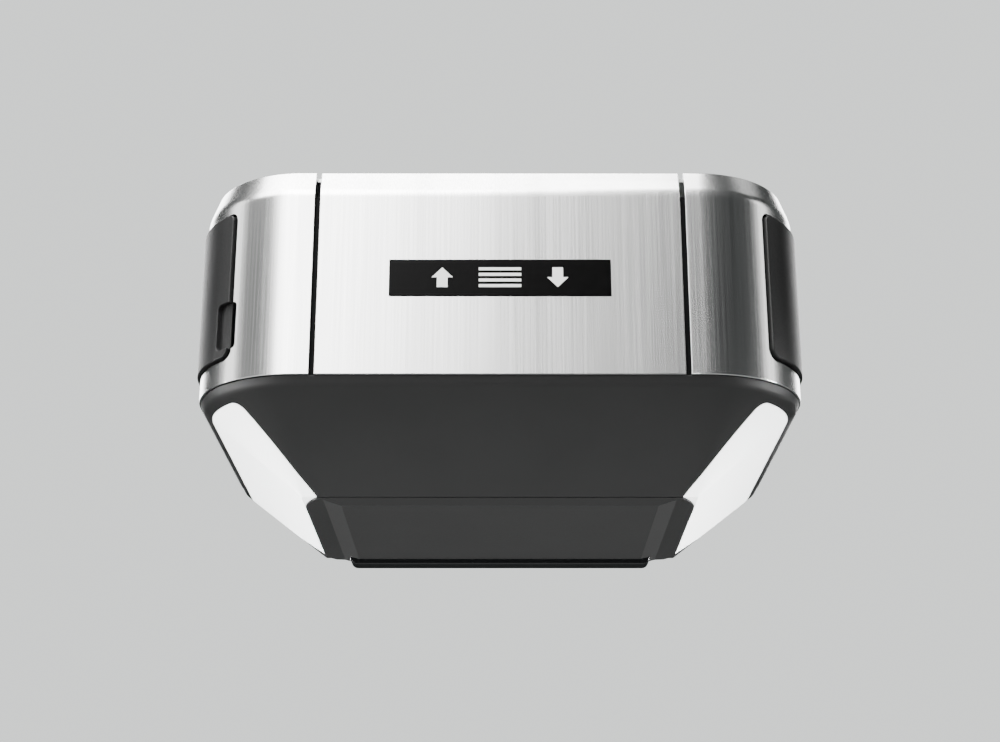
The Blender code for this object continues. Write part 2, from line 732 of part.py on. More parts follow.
def lens_outline(shrink):
    """Plan outline of the right lens: outer edge along the side, wrapped ends, inner edge at the tray."""
    corner_r = FRONT_RADIUS - LENS_EDGE
    rear_r = REAR_RADIUS - LENS_EDGE
    tip = LENS_TIP_RADIUS - shrink
    front_centre = (HALF_WIDTH - FRONT_RADIUS, FRONT + FRONT_RADIUS)
    rear_centre = (HALF_WIDTH - REAR_RADIUS, REAR - REAR_RADIUS)
    slant = math.sqrt(0.5)
    reach = corner_r - LENS_TIP_RADIUS
    front_tip = (front_centre[0] + reach * slant, front_centre[1] - reach * slant)
    reach = rear_r - LENS_TIP_RADIUS
    rear_tip = (rear_centre[0] + reach * slant, rear_centre[1] + reach * slant)
    edge = HALF_WIDTH - HULL_INSET + shrink
    front_line = front_tip[0] + front_tip[1] - LENS_WRAP + shrink / slant
    rear_line = rear_tip[1] - rear_tip[0] + LENS_WRAP - shrink / slant
    nose = tray_corner(FIT)
    points = arc(front_centre, corner_r - shrink, 0, -45, 5)[:-1]
    points += arc(front_tip, tip, -45, -135, 6)
    start = points[-1]
    end = (front_line - nose[0][1], nose[0][1])
    for share in (0.25, 0.5, 0.75):
        bow = LENS_BOW * 4 * share * (1 - share) * slant
        points.append(tuple(a + (b - a) * share - bow for a, b in zip(start, end)))
    points.append(end)
    points += [(x, y) for x, y in nose[1:-1] if x < edge]
    points.append((edge, nose[-1][1]))
    points.append((edge, rear_line + edge))
    points += arc(rear_tip, tip, 135, 45, 6)
    points += arc(rear_centre, rear_r - shrink, 45, 0, 3)[1:]
    return points


def lens_prism(side, shrink):
    """Upright block over a lens outline."""
    outline = lens_outline(shrink)
    if side == "left":
        outline = mirrored(outline)
    return prism(outline, BAND_BASE - HULL_DROP - 3, BAND_BASE + 2)


def build_belly_cover():
    """Drafted plastic hull under the band, open for the tray and the two lenses."""
    sections = ring_sections(hull_profile(), SEAM_X / 2, HULL_REAR_SHARE)
    hull = make_object("belly_cover", loft(sections, closed=True), "hull_plastic")
    for side in ("left", "right"):
        boolean(hull, f"cut_{side}_lens", lens_prism(side, 0.0))


def build_lens(side):
    """Milky light cover: the hull's own wall inside the lens outline, with a clearance."""
    sections = wall_sections(hull_profile(), SEAM_X / 2, SEAM_X / 2, HULL_REAR_SHARE)
    if side == "left":
        sections = [mirrored(section) for section in sections]
    lens = make_object(f"lens_{side}", loft(sections), "lens_plastic")
    boolean(lens, f"trim_lens_{side}", lens_prism(side, FIT), "INTERSECT")


def build_led_board(side):
    """Light board above a lens, with its row of chips."""
    sign = -1 if side == "left" else 1
    middle = sign * (HALF_WIDTH - LED_BOARD_INSET)
    top = BAND_BASE - LED_BOARD_DROP
    low_y = FRONT + (BODY_DEPTH - LED_BOARD_LENGTH) / 2
    board = make_object(
        f"led_board_{side}",
        block(
            (middle - LED_BOARD_WIDTH / 2, low_y, top - LED_BOARD_THICK),
            (middle + LED_BOARD_WIDTH / 2, low_y + LED_BOARD_LENGTH, top),
        ),
        "board_green",
        smooth=False,
    )
    pitch = LED_BOARD_LENGTH / LED_COUNT
    for i in range(LED_COUNT):
        y = low_y + pitch * (i + 0.5)
        base = top - LED_BOARD_THICK
        half = LED_CHIP / 2
        chip = block((middle - half, y - half, base - LED_CHIP_HEIGHT), (middle + half, y + half, base + 0.5))
        boolean(board, f"chip_{side}_{i + 1}", chip, "UNION")


def tray_corner(grow=0.0):
    """Swept front corner of the tray in plan, from its front edge to its side."""
    edge = HALF_WIDTH - HULL_INSET - FIT + grow
    front = FRONT + HULL_INSET + FIT - grow
    shares = ((1.0, 0.0), (0.48, 0.3), (0.12, 0.65), (0.0, 1.0))
    return [(edge - TRAY_CORNER * inward, front + TRAY_SWEEP * back) for inward, back in shares]


def build_bottom_tray():
    """Tray that closes the hull's bottom, with stepped sides, swept corners and a sloping front face."""
    top = BAND_BASE - HULL_DROP - FIT
    base = BAND_BASE - TRAY_DROP
    corner = tray_corner()
    front = corner[0][1]
    edge = corner[-1][0]
    rear = REAR - HULL_INSET * HULL_REAR_SHARE - FIT
    outline = corner + [(edge, rear - TRAY_REAR_CORNER), (edge - TRAY_REAR_CORNER, rear)]
    outline += mirrored(outline[::-1])
    tray = make_object("bottom_tray", prism(outline, base - 5, top), "tray_plastic")
    half = [
        (edge + 1, top + 1),
        (edge + 1, top - TRAY_EDGE),
        (TRAY_STEP_X, BAND_BASE - TRAY_STEP_DROP),
        (TRAY_FLAT_X, base),
    ]
    section = half + mirrored(half[::-1])
    boolean(tray, "tray_section", slab(section, front - 5, rear + 5), "INTERSECT")
    slope = (top - base) / TRAY_FRONT_SLOPE
    run = 2 * TRAY_FRONT_SLOPE
    wedge = [(front - 1, top + slope), (front + run, top - run * slope), (front - 5, top - run * slope)]
    sides = [[(x, y, z) for y, z in wedge] for x in (-edge - 5, edge + 5)]
    boolean(tray, "front_slope", loft(sides))
    room = SENSOR_WIDTH / 2 + FIT
    start = rear - SENSOR_DEPTH - FIT
    boolean(tray, "sensor_room", block((-room, start, base - 5), (room, rear + 5, top + 5)))


def build_sensor_window():
    """Dark strip let into the tray's rear edge, its lower corners rounded."""
    end = REAR - HULL_INSET * HULL_REAR_SHARE - FIT
    top = BAND_BASE - HULL_DROP - FIT
    low = BAND_BASE - SENSOR_DROP
    half = SENSOR_WIDTH / 2
    right = [(half - SENSOR_RADIUS, low + SENSOR_RADIUS)]
    corner = arc(right[0], SENSOR_RADIUS, -90, 0, 5)
    outline = corner + [(half, top)] + mirrored([(half, top)] + corner[::-1])
    make_object("sensor_window", slab(outline, end - SENSOR_DEPTH, end), "black_plastic")


# ---- chassis -------------------------------------------------------------------------------------


def build_chassis():
    """Steel top plate that carries everything, pierced for the output shaft."""
    right = side_path(CHASSIS_INSET, SEAM_X / 2, SEAM_X / 2, front_steps=6, rear_steps=3)
    outline = right + mirrored(right[::-1])
    plate = make_object("chassis_plate", prism(outline, CHASSIS_BASE, CHASSIS_TOP), "zinc_steel")
    boolean(plate, "cut_output_hole", rod(BUSH_RADIUS + FIT, -40, 5, at=(0, SHAFT_PLACE, 0)))


def build_saddle():
    """Hat-section bracket that the rail rests on. Its top face is the part's origin."""
    half = SADDLE_WIDTH / 2
    foot = CHASSIS_TOP + FIT
    wall = SADDLE_WALL
    outer = half + SADDLE_FLANGE
    right = [(half, 0.0), (half, foot + wall), (outer, foot + wall), (outer, foot), (half - wall, foot)]
    right.append((half - wall, -wall))
    outline = right + mirrored(right[::-1])
    shape = slab(outline, -SADDLE_LENGTH / 2, SADDLE_LENGTH / 2)
    saddle = make_object("rail_saddle", shape, "zinc_steel", smooth=False)
    reach = SADDLE_LENGTH / 2 - RAIL_HOLE_END
    for i, y in enumerate((-reach, reach)):
        bore = rod(RAIL_HOLE / 2, -5 - SADDLE_WALL, 3, at=(0, y, 0), segments=20)
        boolean(saddle, f"cut_rail_hole_{i + 1}", bore)


def build_hanger(side):
    """Angle bracket on the chassis plate, with two holes in its upright leaf."""
    sign = -1 if side == "left" else 1
    foot = CHASSIS_TOP + FIT
    y = FRONT + BRACKET_Y
    inner = BRACKET_X - BRACKET_FOOT
    leaf = BRACKET_X - BRACKET_THICK
    outline = [
        (BRACKET_X, foot),
        (BRACKET_X, foot + BRACKET_HEIGHT),
        (leaf, foot + BRACKET_HEIGHT),
        (leaf, foot + BRACKET_THICK),
        (inner, foot + BRACKET_THICK),
        (inner, foot),
    ]
    if sign < 0:
        outline = mirrored(outline)
    shape = slab(outline, y - BRACKET_WIDTH / 2, y + BRACKET_WIDTH / 2)
    bracket = make_object(f"hanger_bracket_{side}", shape, "zinc_steel", smooth=False)
    for i, offset in enumerate((-BRACKET_WIDTH / 4, BRACKET_WIDTH / 4)):
        at = (0, y + offset, foot + BRACKET_HEIGHT - BRACKET_HOLE_DROP)
        span = sorted((sign * (leaf - 3), sign * (BRACKET_X + 3)))
        bore = rod(BRACKET_HOLE / 2, span[0], span[1], "X", at, 20)
        boolean(bracket, f"cut_hanger_{side}_{i + 1}", bore)


# ---- gear train ----------------------------------------------------------------------------------


def tooth_ring(teeth, pitch_radius, module, thickness_cut, twist=0.0):
    """Plan outline of a gear with straight-flanked teeth, tooth 0 pointing along +X."""
    tip = pitch_radius + module
    root = pitch_radius - DEDENDUM_SHARE * module
    slope = math.tan(math.radians(PRESSURE_ANGLE))
    half_pitch = math.pi * module / 4 - thickness_cut / 2
    half_root = half_pitch + DEDENDUM_SHARE * module * slope
    half_tip = half_pitch - module * slope
    corners = [(root, -half_root), (tip, -half_tip), (tip, half_tip), (root, half_root)]
    points = []
    for tooth in range(teeth):
        middle = math.tau * tooth / teeth + twist
        for radius, half in corners:
            angle = middle + half / pitch_radius
            points.append((radius * math.cos(angle), radius * math.sin(angle)))
    return points


def gear_solid(teeth, pitch_radius, module, cut, low, high, centre, lead_twist=0.0, turn=0.0):
    """A gear between two heights. lead_twist is the angle its teeth turn over that height."""
    sections = []
    for z, share in ((low, -0.5), (high, 0.5)):
        ring = tooth_ring(teeth, pitch_radius, module, cut, turn + lead_twist * share)
        sections.append([(centre[0] + x, centre[1] + y, z) for x, y in ring])
    return loft(sections)


def build_worm_wheel():
    """Nylon wheel on the output shaft. Its teeth lean by the worm's lead angle."""
    low = WORM_HEIGHT - WHEEL_WIDTH / 2
    high = WORM_HEIGHT + WHEEL_WIDTH / 2
    lead_angle = WORM_LEAD / (math.tau * WORM_PITCH_RADIUS)
    twist = WHEEL_WIDTH * lead_angle / WHEEL_PITCH_RADIUS
    quarter_turn_index = WHEEL_TEETH / 4
    turn = math.radians(90) - math.tau * quarter_turn_index / WHEEL_TEETH
    shape = gear_solid(
        WHEEL_TEETH, WHEEL_PITCH_RADIUS, GEAR_MODULE, GEAR_BACKLASH, low, high, (0, SHAFT_PLACE), twist, turn
    )
    wheel = make_object("worm_wheel", shape, "gear_nylon", smooth=False)
    at = (0, SHAFT_PLACE, 0)
    hub = rod(OUTPUT_RADIUS + WHEEL_HUB_WALL, low - WHEEL_HUB_PROUD, high + WHEEL_HUB_PROUD, at=at)
    boolean(wheel, "wheel_hub", hub, "UNION")
    boolean(wheel, "wheel_bore", rod(OUTPUT_RADIUS + FIT, low - 9, high + 9, at=at))


def build_output_shaft():
    """Upright shaft that carries the wheel, the sprocket and the travel pinion."""
    at = (0, SHAFT_PLACE, 0)
    low = TRAVEL_LOW - 1.0
    high = SPROCKET_TOP + 2.4
    r = OUTPUT_RADIUS
    edge = 0.6
    profile = [(0, low), (r - edge, low), (r, low + edge), (r, high - edge), (r - edge, high), (0, high)]
    shaft = make_object("output_shaft", turned(profile, at=at), "gear_steel")
    groove_low = SPROCKET_TOP + FIT
    groove_high = groove_low + CLIP_THICK + FIT
    floor = r - CLIP_GROOVE
    rim = r + 1
    groove = [(floor, groove_low), (rim, groove_low), (rim, groove_high), (floor, groove_high)]
    boolean(shaft, "cut_clip_groove", turned(groove, at=at))


def build_bushing(name, low, high, flange_at_top):
    """Flanged bronze bush round the output shaft."""
    bore = OUTPUT_RADIUS + FIT / 2
    rim = BUSH_RADIUS + BUSH_RIM
    if flange_at_top:
        under = high - BUSH_FLANGE
        profile = [(bore, low), (BUSH_RADIUS, low), (BUSH_RADIUS, under)]
        profile += [(rim, under), (rim, high), (bore, high)]
    else:
        profile = [(bore, low), (rim, low), (rim, low + BUSH_FLANGE), (BUSH_RADIUS, low + BUSH_FLANGE)]
        profile += [(BUSH_RADIUS, high), (bore, high)]
    make_object(name, turned(profile, at=(0, SHAFT_PLACE, 0), segments=28), "bronze")


def build_worm_shaft():
    """One piece: motor shaft with the single-start worm thread cut on it."""
    slope = math.tan(math.radians(PRESSURE_ANGLE))
    half_pitch = WORM_LEAD / 4 - GEAR_BACKLASH / 2
    half_tip = half_pitch - GEAR_MODULE * slope
    sunk = WORM_ROOT_RADIUS - 0.4
    half_root = half_pitch + (WORM_PITCH_RADIUS - sunk) * slope
    per_turn = 20
    turns = 2 * WORM_HALF_LENGTH / WORM_LEAD - 1
    count = int(per_turn * turns)
    count -= count % 2
    sections = []
    for i in range(count + 1):
        phi = math.tau * (i - count / 2) / per_turn
        x = WORM_LEAD * phi / math.tau
        fade = min(1.0, 3 * min(i, count - i) / per_turn + 0.05)
        tip_radius = sunk + 0.2 + (WORM_TIP_RADIUS - sunk - 0.2) * fade
        corners = ((sunk, -half_root), (tip_radius, -half_tip), (tip_radius, half_tip), (sunk, half_root))
        row = []
        for radius, along in corners:
            y = WORM_PLACE + radius * math.cos(phi)
            row.append((x + along, y, WORM_HEIGHT + radius * math.sin(phi)))
        sections.append(row)
    at = (0, WORM_PLACE, WORM_HEIGHT)
    r = WORM_SHAFT_DIAMETER / 2
    start = -(WORM_HALF_LENGTH + BEARING_WIDTH + 2)
    end = MOTOR_END + END_CAP_THICK + 5
    profile = [(0, start), (r, start), (r, -WORM_HALF_LENGTH), (WORM_ROOT_RADIUS, -WORM_HALF_LENGTH)]
    profile += [(WORM_ROOT_RADIUS, WORM_HALF_LENGTH), (r, WORM_HALF_LENGTH), (r, end), (0, end)]
    shaft = make_object("worm_shaft", turned(profile, "X", at, 28), "gear_steel")
    boolean(shaft, "worm_thread", loft(sections), "UNION")


def build_bearing(name, start):
    """Ball bearing drawn as one ring with its races' grooves."""
    bore = WORM_SHAFT_DIAMETER / 2 + FIT / 2
    outer = BEARING_OUTER / 2
    end = start + BEARING_WIDTH
    inner_race = bore + BEARING_RACE
    outer_race = outer - BEARING_RACE
    sunk = 0.5
    profile = [(bore, start), (inner_race, start), (inner_race, start + sunk), (outer_race, start + sunk)]
    profile += [(outer_race, start), (outer, start), (outer, end), (outer_race, end)]
    profile += [(outer_race, end - sunk), (inner_race, end - sunk), (inner_race, end), (bore, end)]
    make_object(name, turned(profile, "X", (0, WORM_PLACE, WORM_HEIGHT), 24), "gear_steel")


def build_gearbox():
    """Cast case open at the top, with bearing seats for the worm and a seat for the lower bush."""
    low = (-BOX_SIDE, BOX_FRONT, BOX_BASE)
    high = (BOX_SIDE, BOX_REAR, BOX_TOP)
    case = make_object("gearbox_case", soft_block(low, high, GEARBOX_CORNER), "cast_aluminium")
    wall = GEARBOX_WALL
    inner_x = WORM_HALF_LENGTH + FIT
    inner_low = BOX_BASE + wall
    at = (0, SHAFT_PLACE, 0)
    wheel_room = rod(WHEEL_TIP_RADIUS + GEARBOX_ROOM, inner_low, BOX_TOP + 5, at=at, segments=40)
    boolean(case, "cut_wheel_room", wheel_room)
    room_end = WORM_PLACE + WORM_TIP_RADIUS + GEARBOX_ROOM
    worm_room = block((-inner_x, SHAFT_PLACE, inner_low), (inner_x, room_end, BOX_TOP + 5))
    boolean(case, "cut_worm_room", worm_room)
    worm_at = (0, WORM_PLACE, WORM_HEIGHT)
    seat_reach = inner_x + BEARING_WIDTH + FIT
    seats = rod(BEARING_OUTER / 2 + FIT, -seat_reach, seat_reach, "X", worm_at, 28)
    boolean(case, "cut_bearing_seats", seats)
    shaft_way = rod(WORM_SHAFT_DIAMETER / 2 + 1, -seat_reach - 3, BOX_SIDE + 5, "X", worm_at, 24)
    boolean(case, "cut_shaft_way", shaft_way)
    boolean(case, "cut_bush_seat", rod(BUSH_RADIUS + FIT, BOX_BASE - 2, inner_low + 2, at=at, segments=28))


def build_gearbox_lid():
    """Flat lid that holds the upper bush."""
    low = (-BOX_SIDE, BOX_FRONT, LID_TOP - LID_THICK)
    high = (BOX_SIDE, BOX_REAR, LID_TOP)
    lid = make_object("gearbox_lid", soft_block(low, high, GEARBOX_CORNER), "cast_aluminium")
    at = (0, SHAFT_PLACE, 0)
    boolean(lid, "cut_lid_bore", rod(BUSH_RADIUS + FIT, LID_TOP - 20, LID_TOP + 5, at=at, segments=28))


def build_sprocket():
    """Belt sprocket on the output shaft, above the chassis plate."""
    module = SPROCKET_RADIUS * 2 / SPROCKET_TEETH
    pitch_radius = SPROCKET_RADIUS - module
    centre = (0, SHAFT_PLACE)
    low = SPROCKET_BASE
    shape = gear_solid(SPROCKET_TEETH, pitch_radius, module, SMALL_BACKLASH, low, SPROCKET_TOP, centre)
    sprocket = make_object("sprocket", shape, "gear_steel", smooth=False)
    at = (0, SHAFT_PLACE, 0)
    flange = rod(SPROCKET_RADIUS + 1, SPROCKET_BASE, SPROCKET_BASE + SPROCKET_FLANGE, at=at)
    boolean(sprocket, "sprocket_flange", flange, "UNION")
    boolean(sprocket, "sprocket_bore", rod(OUTPUT_RADIUS + FIT, SPROCKET_BASE - 5, SPROCKET_TOP + 5, at=at))


def build_sprocket_clip():
    """Open retaining ring in the shaft's groove."""
    low = SPROCKET_TOP + 1.5 * FIT
    inner = OUTPUT_RADIUS - CLIP_GROOVE + FIT
    outer = OUTPUT_RADIUS + CLIP_PROUD
    gap = 25
    centre = (0, SHAFT_PLACE)
    ring = arc(centre, outer, gap, 360 - gap, 18) + arc(centre, inner, 360 - gap, gap, 18)
    make_object("sprocket_clip", prism(ring, low, low + CLIP_THICK - FIT / 2), "gear_steel", smooth=False)


def build_sprocket_cover():
    """Plastic cap over the sprocket, open to the rear where the belt leaves along the rail."""
    reach = SPROCKET_RADIUS + 1 + COVER_ROOM
    outer = reach + COVER_WALL
    base = CHASSIS_TOP + FIT
    end = -SADDLE_LENGTH / 2 - 1.0 - SHAFT_PLACE
    centre = (0, SHAFT_PLACE)

    def outline(radius, rear):
        y = SHAFT_PLACE + rear
        return arc(centre, radius, 180, 360, 16) + [(radius, y), (-radius, y)]

    shape = prism(outline(outer, end), base, COVER_TOP)
    cover = make_object("sprocket_cover", shape, "black_plastic")
    room = prism(outline(reach, end + 5), base - 2, COVER_TOP - COVER_WALL)
    boolean(cover, "cut_sprocket_room", room)


def build_travel_gears():
    """Pinion on the output shaft's lower end, and the sensing gear that it turns beside it."""
    low = TRAVEL_LOW
    high = low + TRAVEL_WIDTH
    pitch_radius = TRAVEL_PITCH_RADIUS
    centre = (0, SHAFT_PLACE)
    shape = gear_solid(TRAVEL_TEETH, pitch_radius, TRAVEL_MODULE, SMALL_BACKLASH, low, high, centre)
    pinion = make_object("travel_pinion", shape, "gear_nylon", smooth=False)
    at = (0, SHAFT_PLACE, 0)
    boolean(pinion, "pinion_bore", rod(OUTPUT_RADIUS + FIT, low - 5, high + 5, at=at))
    centre = (0, TRAVEL_PLACE)
    turn = math.radians(90) + math.pi / TRAVEL_TEETH
    shape = gear_solid(
        TRAVEL_TEETH, pitch_radius, TRAVEL_MODULE, SMALL_BACKLASH, low, high, centre, turn=turn
    )
    gear = make_object("travel_gear", shape, "gear_nylon", smooth=False)
    stub = rod(TRAVEL_STUB / 2, low - 6, high - 1, at=(0, TRAVEL_PLACE, 0), segments=16)
    boolean(gear, "travel_gear_stub", stub, "UNION")


def build_travel_module():
    """Small sealed case of the position sensor, under the sensing gear."""
    y = TRAVEL_PLACE
    half_width, half_depth, height = (size / 2 for size in TRAVEL_CASE)
    top = TRAVEL_LOW - 1
    low = top - 2 * height
    rear = min(y + half_depth, SHAFT_PLACE - BUSH_RADIUS - 4)
    shape = soft_block((-half_width, y - half_depth, low), (half_width, rear, top), 2)
    case = make_object("travel_module_case", shape, "black_plastic")
    boolean(case, "cut_travel_stub", rod(TRAVEL_STUB / 2 + FIT, top - 8, top + 5, at=(0, y, 0), segments=16))


# ---- motor ---------------------------------------------------------------------------------------


def build_motor():
    """Direct-current motor: can, end cap, magnets, rotor on the worm shaft, and its speed wheel."""
    at = (0, WORM_PLACE, WORM_HEIGHT)
    r = MOTOR_RADIUS
    wall = MOTOR_WALL
    bore = WORM_SHAFT_DIAMETER / 2 + 1
    boss = MOTOR_BOSS / 2
    can = [(bore, MOTOR_FACE - 3), (boss, MOTOR_FACE - 3), (boss, MOTOR_FACE), (r - 2, MOTOR_FACE)]
    can += [(r, MOTOR_FACE + 2), (r, MOTOR_END - FIT), (r - wall, MOTOR_END - FIT)]
    can += [(r - wall, MOTOR_FACE + wall), (bore, MOTOR_FACE + wall)]
    make_object("motor_can", turned(can, "X", at, 40), "zinc_steel")
    seat = BEARING_OUTER / 2 + FIT
    seat_end = MOTOR_END + BEARING_WIDTH + FIT
    cap_end = MOTOR_END + END_CAP_THICK
    cap = [(bore, cap_end), (bore, seat_end), (seat, seat_end), (seat, MOTOR_END)]
    cap += [(r, MOTOR_END), (r, cap_end - 2), (r - 2, cap_end)]
    make_object("motor_end_cap", turned(cap, "X", at, 40), "cast_aluminium")
    start = MOTOR_FACE + wall + ROTOR_END_ROOM
    end = MOTOR_END - ROTOR_END_ROOM
    shaft_gap = WORM_SHAFT_DIAMETER / 2 + FIT / 2
    rotor_ring = []
    for i in range(ROTOR_POLES):
        middle = 360 * i / ROTOR_POLES
        rotor_ring += arc((0, 0), ROTOR_RADIUS, middle - 17, middle + 17, 3)
        rotor_ring += arc((0, 0), ROTOR_RADIUS - ROTOR_SLOT, middle + 19, middle + 26, 1)
    rotor = make_object(
        "motor_rotor",
        loft([[(x, WORM_PLACE + y, WORM_HEIGHT + z) for y, z in rotor_ring] for x in (start, end)]),
        "bronze",
        smooth=False,
    )
    boolean(rotor, "rotor_bore", rod(shaft_gap, start - 5, end + 5, "X", at, 28))
    outer = r - wall - FIT
    inner = outer - MAGNET_THICK
    for name, middle in (("motor_magnet_upper", 90), ("motor_magnet_lower", 270)):
        half = MAGNET_SPAN / 2
        ring = arc((0, 0), outer, middle - half, middle + half, 10)
        ring += arc((0, 0), inner, middle + half, middle - half, 10)
        ends = (start - MAGNET_OVERLAP, end + MAGNET_OVERLAP)
        sections = [[(x, WORM_PLACE + y, WORM_HEIGHT + z) for y, z in ring] for x in ends]
        make_object(name, loft(sections), "ferrite", smooth=False)


def build_rpm_wheel():
    """Slotted cup on the motor shaft's outer end, and the optical sensor that reads it."""
    at = (0, WORM_PLACE, WORM_HEIGHT)
    start = MOTOR_END + END_CAP_THICK + 1
    bore = WORM_SHAFT_DIAMETER / 2 + FIT / 2
    r = RPM_WHEEL_DIAMETER / 2
    inner = r - RPM_WALL
    floor = start + 1.4
    rim = start + RPM_DEPTH
    cup = [(bore, start), (r, start), (r, rim), (inner, rim), (inner, floor), (bore, floor)]
    wheel = make_object("rpm_wheel", turned(cup, "X", at, 36), "black_plastic")
    for i in range(RPM_SLOTS // 2):
        angle = 180 * i / (RPM_SLOTS // 2)
        slot = block((start + 2.4, -r - 2, -1.6), (start + 9, r + 2, 1.6))
        turn = Matrix.Translation(at) @ Matrix.Rotation(math.radians(angle), 4, "X")
        bmesh.ops.transform(slot, matrix=turn, verts=slot.verts)
        boolean(wheel, f"cut_rpm_slot_{i + 1}", slot)
    board_x = start + 9
    y = WORM_PLACE
    board = make_object(
        "rpm_sensor_board",
        block((board_x, y - 12, WORM_HEIGHT - 10), (board_x + 1.6, y + 12, WORM_HEIGHT + 22)),
        "board_green",
        smooth=False,
    )
    arm_low = WORM_HEIGHT + r + 1
    arm = block((start + 1, y - 3, arm_low), (board_x + 0.5, y + 3, arm_low + 3))
    boolean(board, "rpm_arm_outer", arm, "UNION")
    inner_top = WORM_HEIGHT + inner - 1
    arm = block((start + 3, y - 3, inner_top - 2.5), (board_x + 0.5, y + 3, inner_top))
    boolean(board, "rpm_arm_inner", arm, "UNION")


# ---- electronics ---------------------------------------------------------------------------------


def button_place(i):
    """Where a button's axis crosses the frame's XZ plane."""
    return (BUTTON_X + BUTTON_SPACING * i, 0, BUTTON_Z)


def build_buttons():
    """Round push buttons in the rear panel, each held in by a flange behind it."""
    r = BUTTON_DIAMETER / 2
    flange_rear = REAR_INNER - FIT
    tip = REAR + BUTTON_PROUD
    for i, name in enumerate(BUTTONS):
        rim = r + BUTTON_RIM
        front = flange_rear - BUTTON_FLANGE
        profile = [(0, front), (rim, front), (rim, flange_rear), (r, flange_rear)]
        profile += [(r, tip - 0.6), (r - 0.6, tip), (0, tip)]
        colour = "button_yellow" if name == "learn_button" else "cover_plastic"
        make_object(name, turned(profile, "Y", button_place(i), 24), colour)


def terminal_body_box(grow=0.0):
    """The terminal block's box, or the cutter for its window in the rear panel when grown."""
    half = TERMINAL_COUNT * TERMINAL_PITCH / 2 + TERMINAL_END
    half_height = TERMINAL_BODY / 2
    start = REAR - 20 if grow else BOARD_REAR + FIT
    end = REAR + 5 if grow else TERMINAL_FACE
    return block(
        (TERMINAL_X - half - grow, start, TERMINAL_Z - half_height - grow),
        (TERMINAL_X + half + grow, end, TERMINAL_Z + half_height + grow),
    )


def tab_middle(i):
    """X of a terminal's middle."""
    return TERMINAL_X + TERMINAL_PITCH * (i - (TERMINAL_COUNT - 1) / 2)


def build_terminals():
    """Screwless wire terminals: a block with a wire hole and a push tab for each wire."""
    body = make_object("terminal_block", terminal_body_box(), "battery_grey", smooth=False)
    tab_low = TERMINAL_Z + TAB_RISE
    tab_high = tab_low + TAB_HEIGHT
    half = TAB_WIDTH / 2
    face = TERMINAL_FACE
    for i in range(TERMINAL_COUNT):
        x = tab_middle(i)
        room = block(
            (x - half - FIT, face - TAB_DEPTH - FIT, tab_low - FIT),
            (x + half + FIT, face + 3, tab_high + FIT),
        )
        boolean(body, f"cut_tab_{i + 1}", room)
        wire_at = (x, 0, TERMINAL_Z - WIRE_HOLE_DROP)
        boolean(body, f"cut_wire_{i + 1}", rod(WIRE_HOLE / 2, face - 8, face + 3, "Y", wire_at, 14))
        back = face - TAB_DEPTH + TAB_TRAVEL
        shape = block((x - half, back, tab_low), (x + half, face + TAB_PROUD, tab_high))
        rims = [e for e in shape.edges if min(v.co.y for v in e.verts) > face + TAB_PROUD - 0.1]
        round_edges(shape, rims, 0.6, 1)
        make_object(f"terminal_tab_{i + 1}", shape, "battery_grey", smooth=False)


def build_logic_board():
    """Upright main board behind the rear panel, with the four switches that the buttons press."""
    x = BOARD_X
    low = BAND_BASE + BOARD_BASE
    board = make_object(
        "logic_board",
        block((x - BOARD_WIDTH / 2, BOARD_FRONT, low), (x + BOARD_WIDTH / 2, BOARD_REAR, low + BOARD_HEIGHT)),
        "board_green",
        smooth=False,
    )
    reach = REAR_INNER - FIT - BUTTON_FLANGE - BUTTON_TRAVEL - FIT
    for i, name in enumerate(BUTTONS):
        at = button_place(i)
        half = SWITCH_SIZE / 2
        switch = block((at[0] - half, BOARD_REAR - 0.5, at[2] - half), (at[0] + half, reach, at[2] + half))
        boolean(board, f"switch_{name}", switch, "UNION")
    gland_room = rod(GLAND_DIAMETER / 2 + 5, BOARD_FRONT - 5, BOARD_REAR + 5, "Y", (GLAND_X, 0, GLAND_Z), 20)
    boolean(board, "cut_gland_room", gland_room)


def build_board_parts():
    """Relays, the storage capacitor and the power transformer."""
    end = BOARD_FRONT - FIT
    half = RELAY_SIZE[0] / 2
    base = BAND_BASE + BOARD_BASE + RELAY_RISE
    for i, name in enumerate(("relay_up", "relay_down")):
        x = BOARD_X + RELAY_X + RELAY_PITCH * i
        shape = block((x - half, end - RELAY_SIZE[1], base), (x + half, end, base + RELAY_SIZE[2]))
        make_object(name, shape, "black_plastic", smooth=False)
    at = (BOARD_X + CAPACITOR_X, 0, BAND_BASE + BOARD_BASE + CAPACITOR_RISE)
    r = CAPACITOR_DIAMETER / 2
    start = end - CAPACITOR_LENGTH
    crimp = [(r, end - 3), (r - 0.7, end - 2.4), (r, end - 1.8)]
    profile = [(0, start), (r - 1, start), (r, start + 1), *crimp, (r, end), (0, end)]
    make_object("capacitor", turned(profile, "Y", at, 24), "battery_grey")
    right = TRANSFORMER_LEFT + TRANSFORMER_WIDTH
    top = CHASSIS_BASE - FIT
    low = (TRANSFORMER_LEFT, TRANSFORMER_FRONT, top - TRANSFORMER_HEIGHT)
    high = (right, TRANSFORMER_FRONT + TRANSFORMER_DEPTH, top)
    core = make_object("transformer", soft_block(low, high, 2), "gear_steel")
    middle_y = (low[1] + high[1]) / 2
    reach = TRANSFORMER_DEPTH / 2 + COIL_PROUD
    coil = soft_block(
        (low[0] + COIL_END, middle_y - reach, low[2] + 10),
        (high[0] - COIL_END, middle_y + reach, high[2] - 10),
        4,
    )
    boolean(core, "transformer_coil", coil, "UNION")


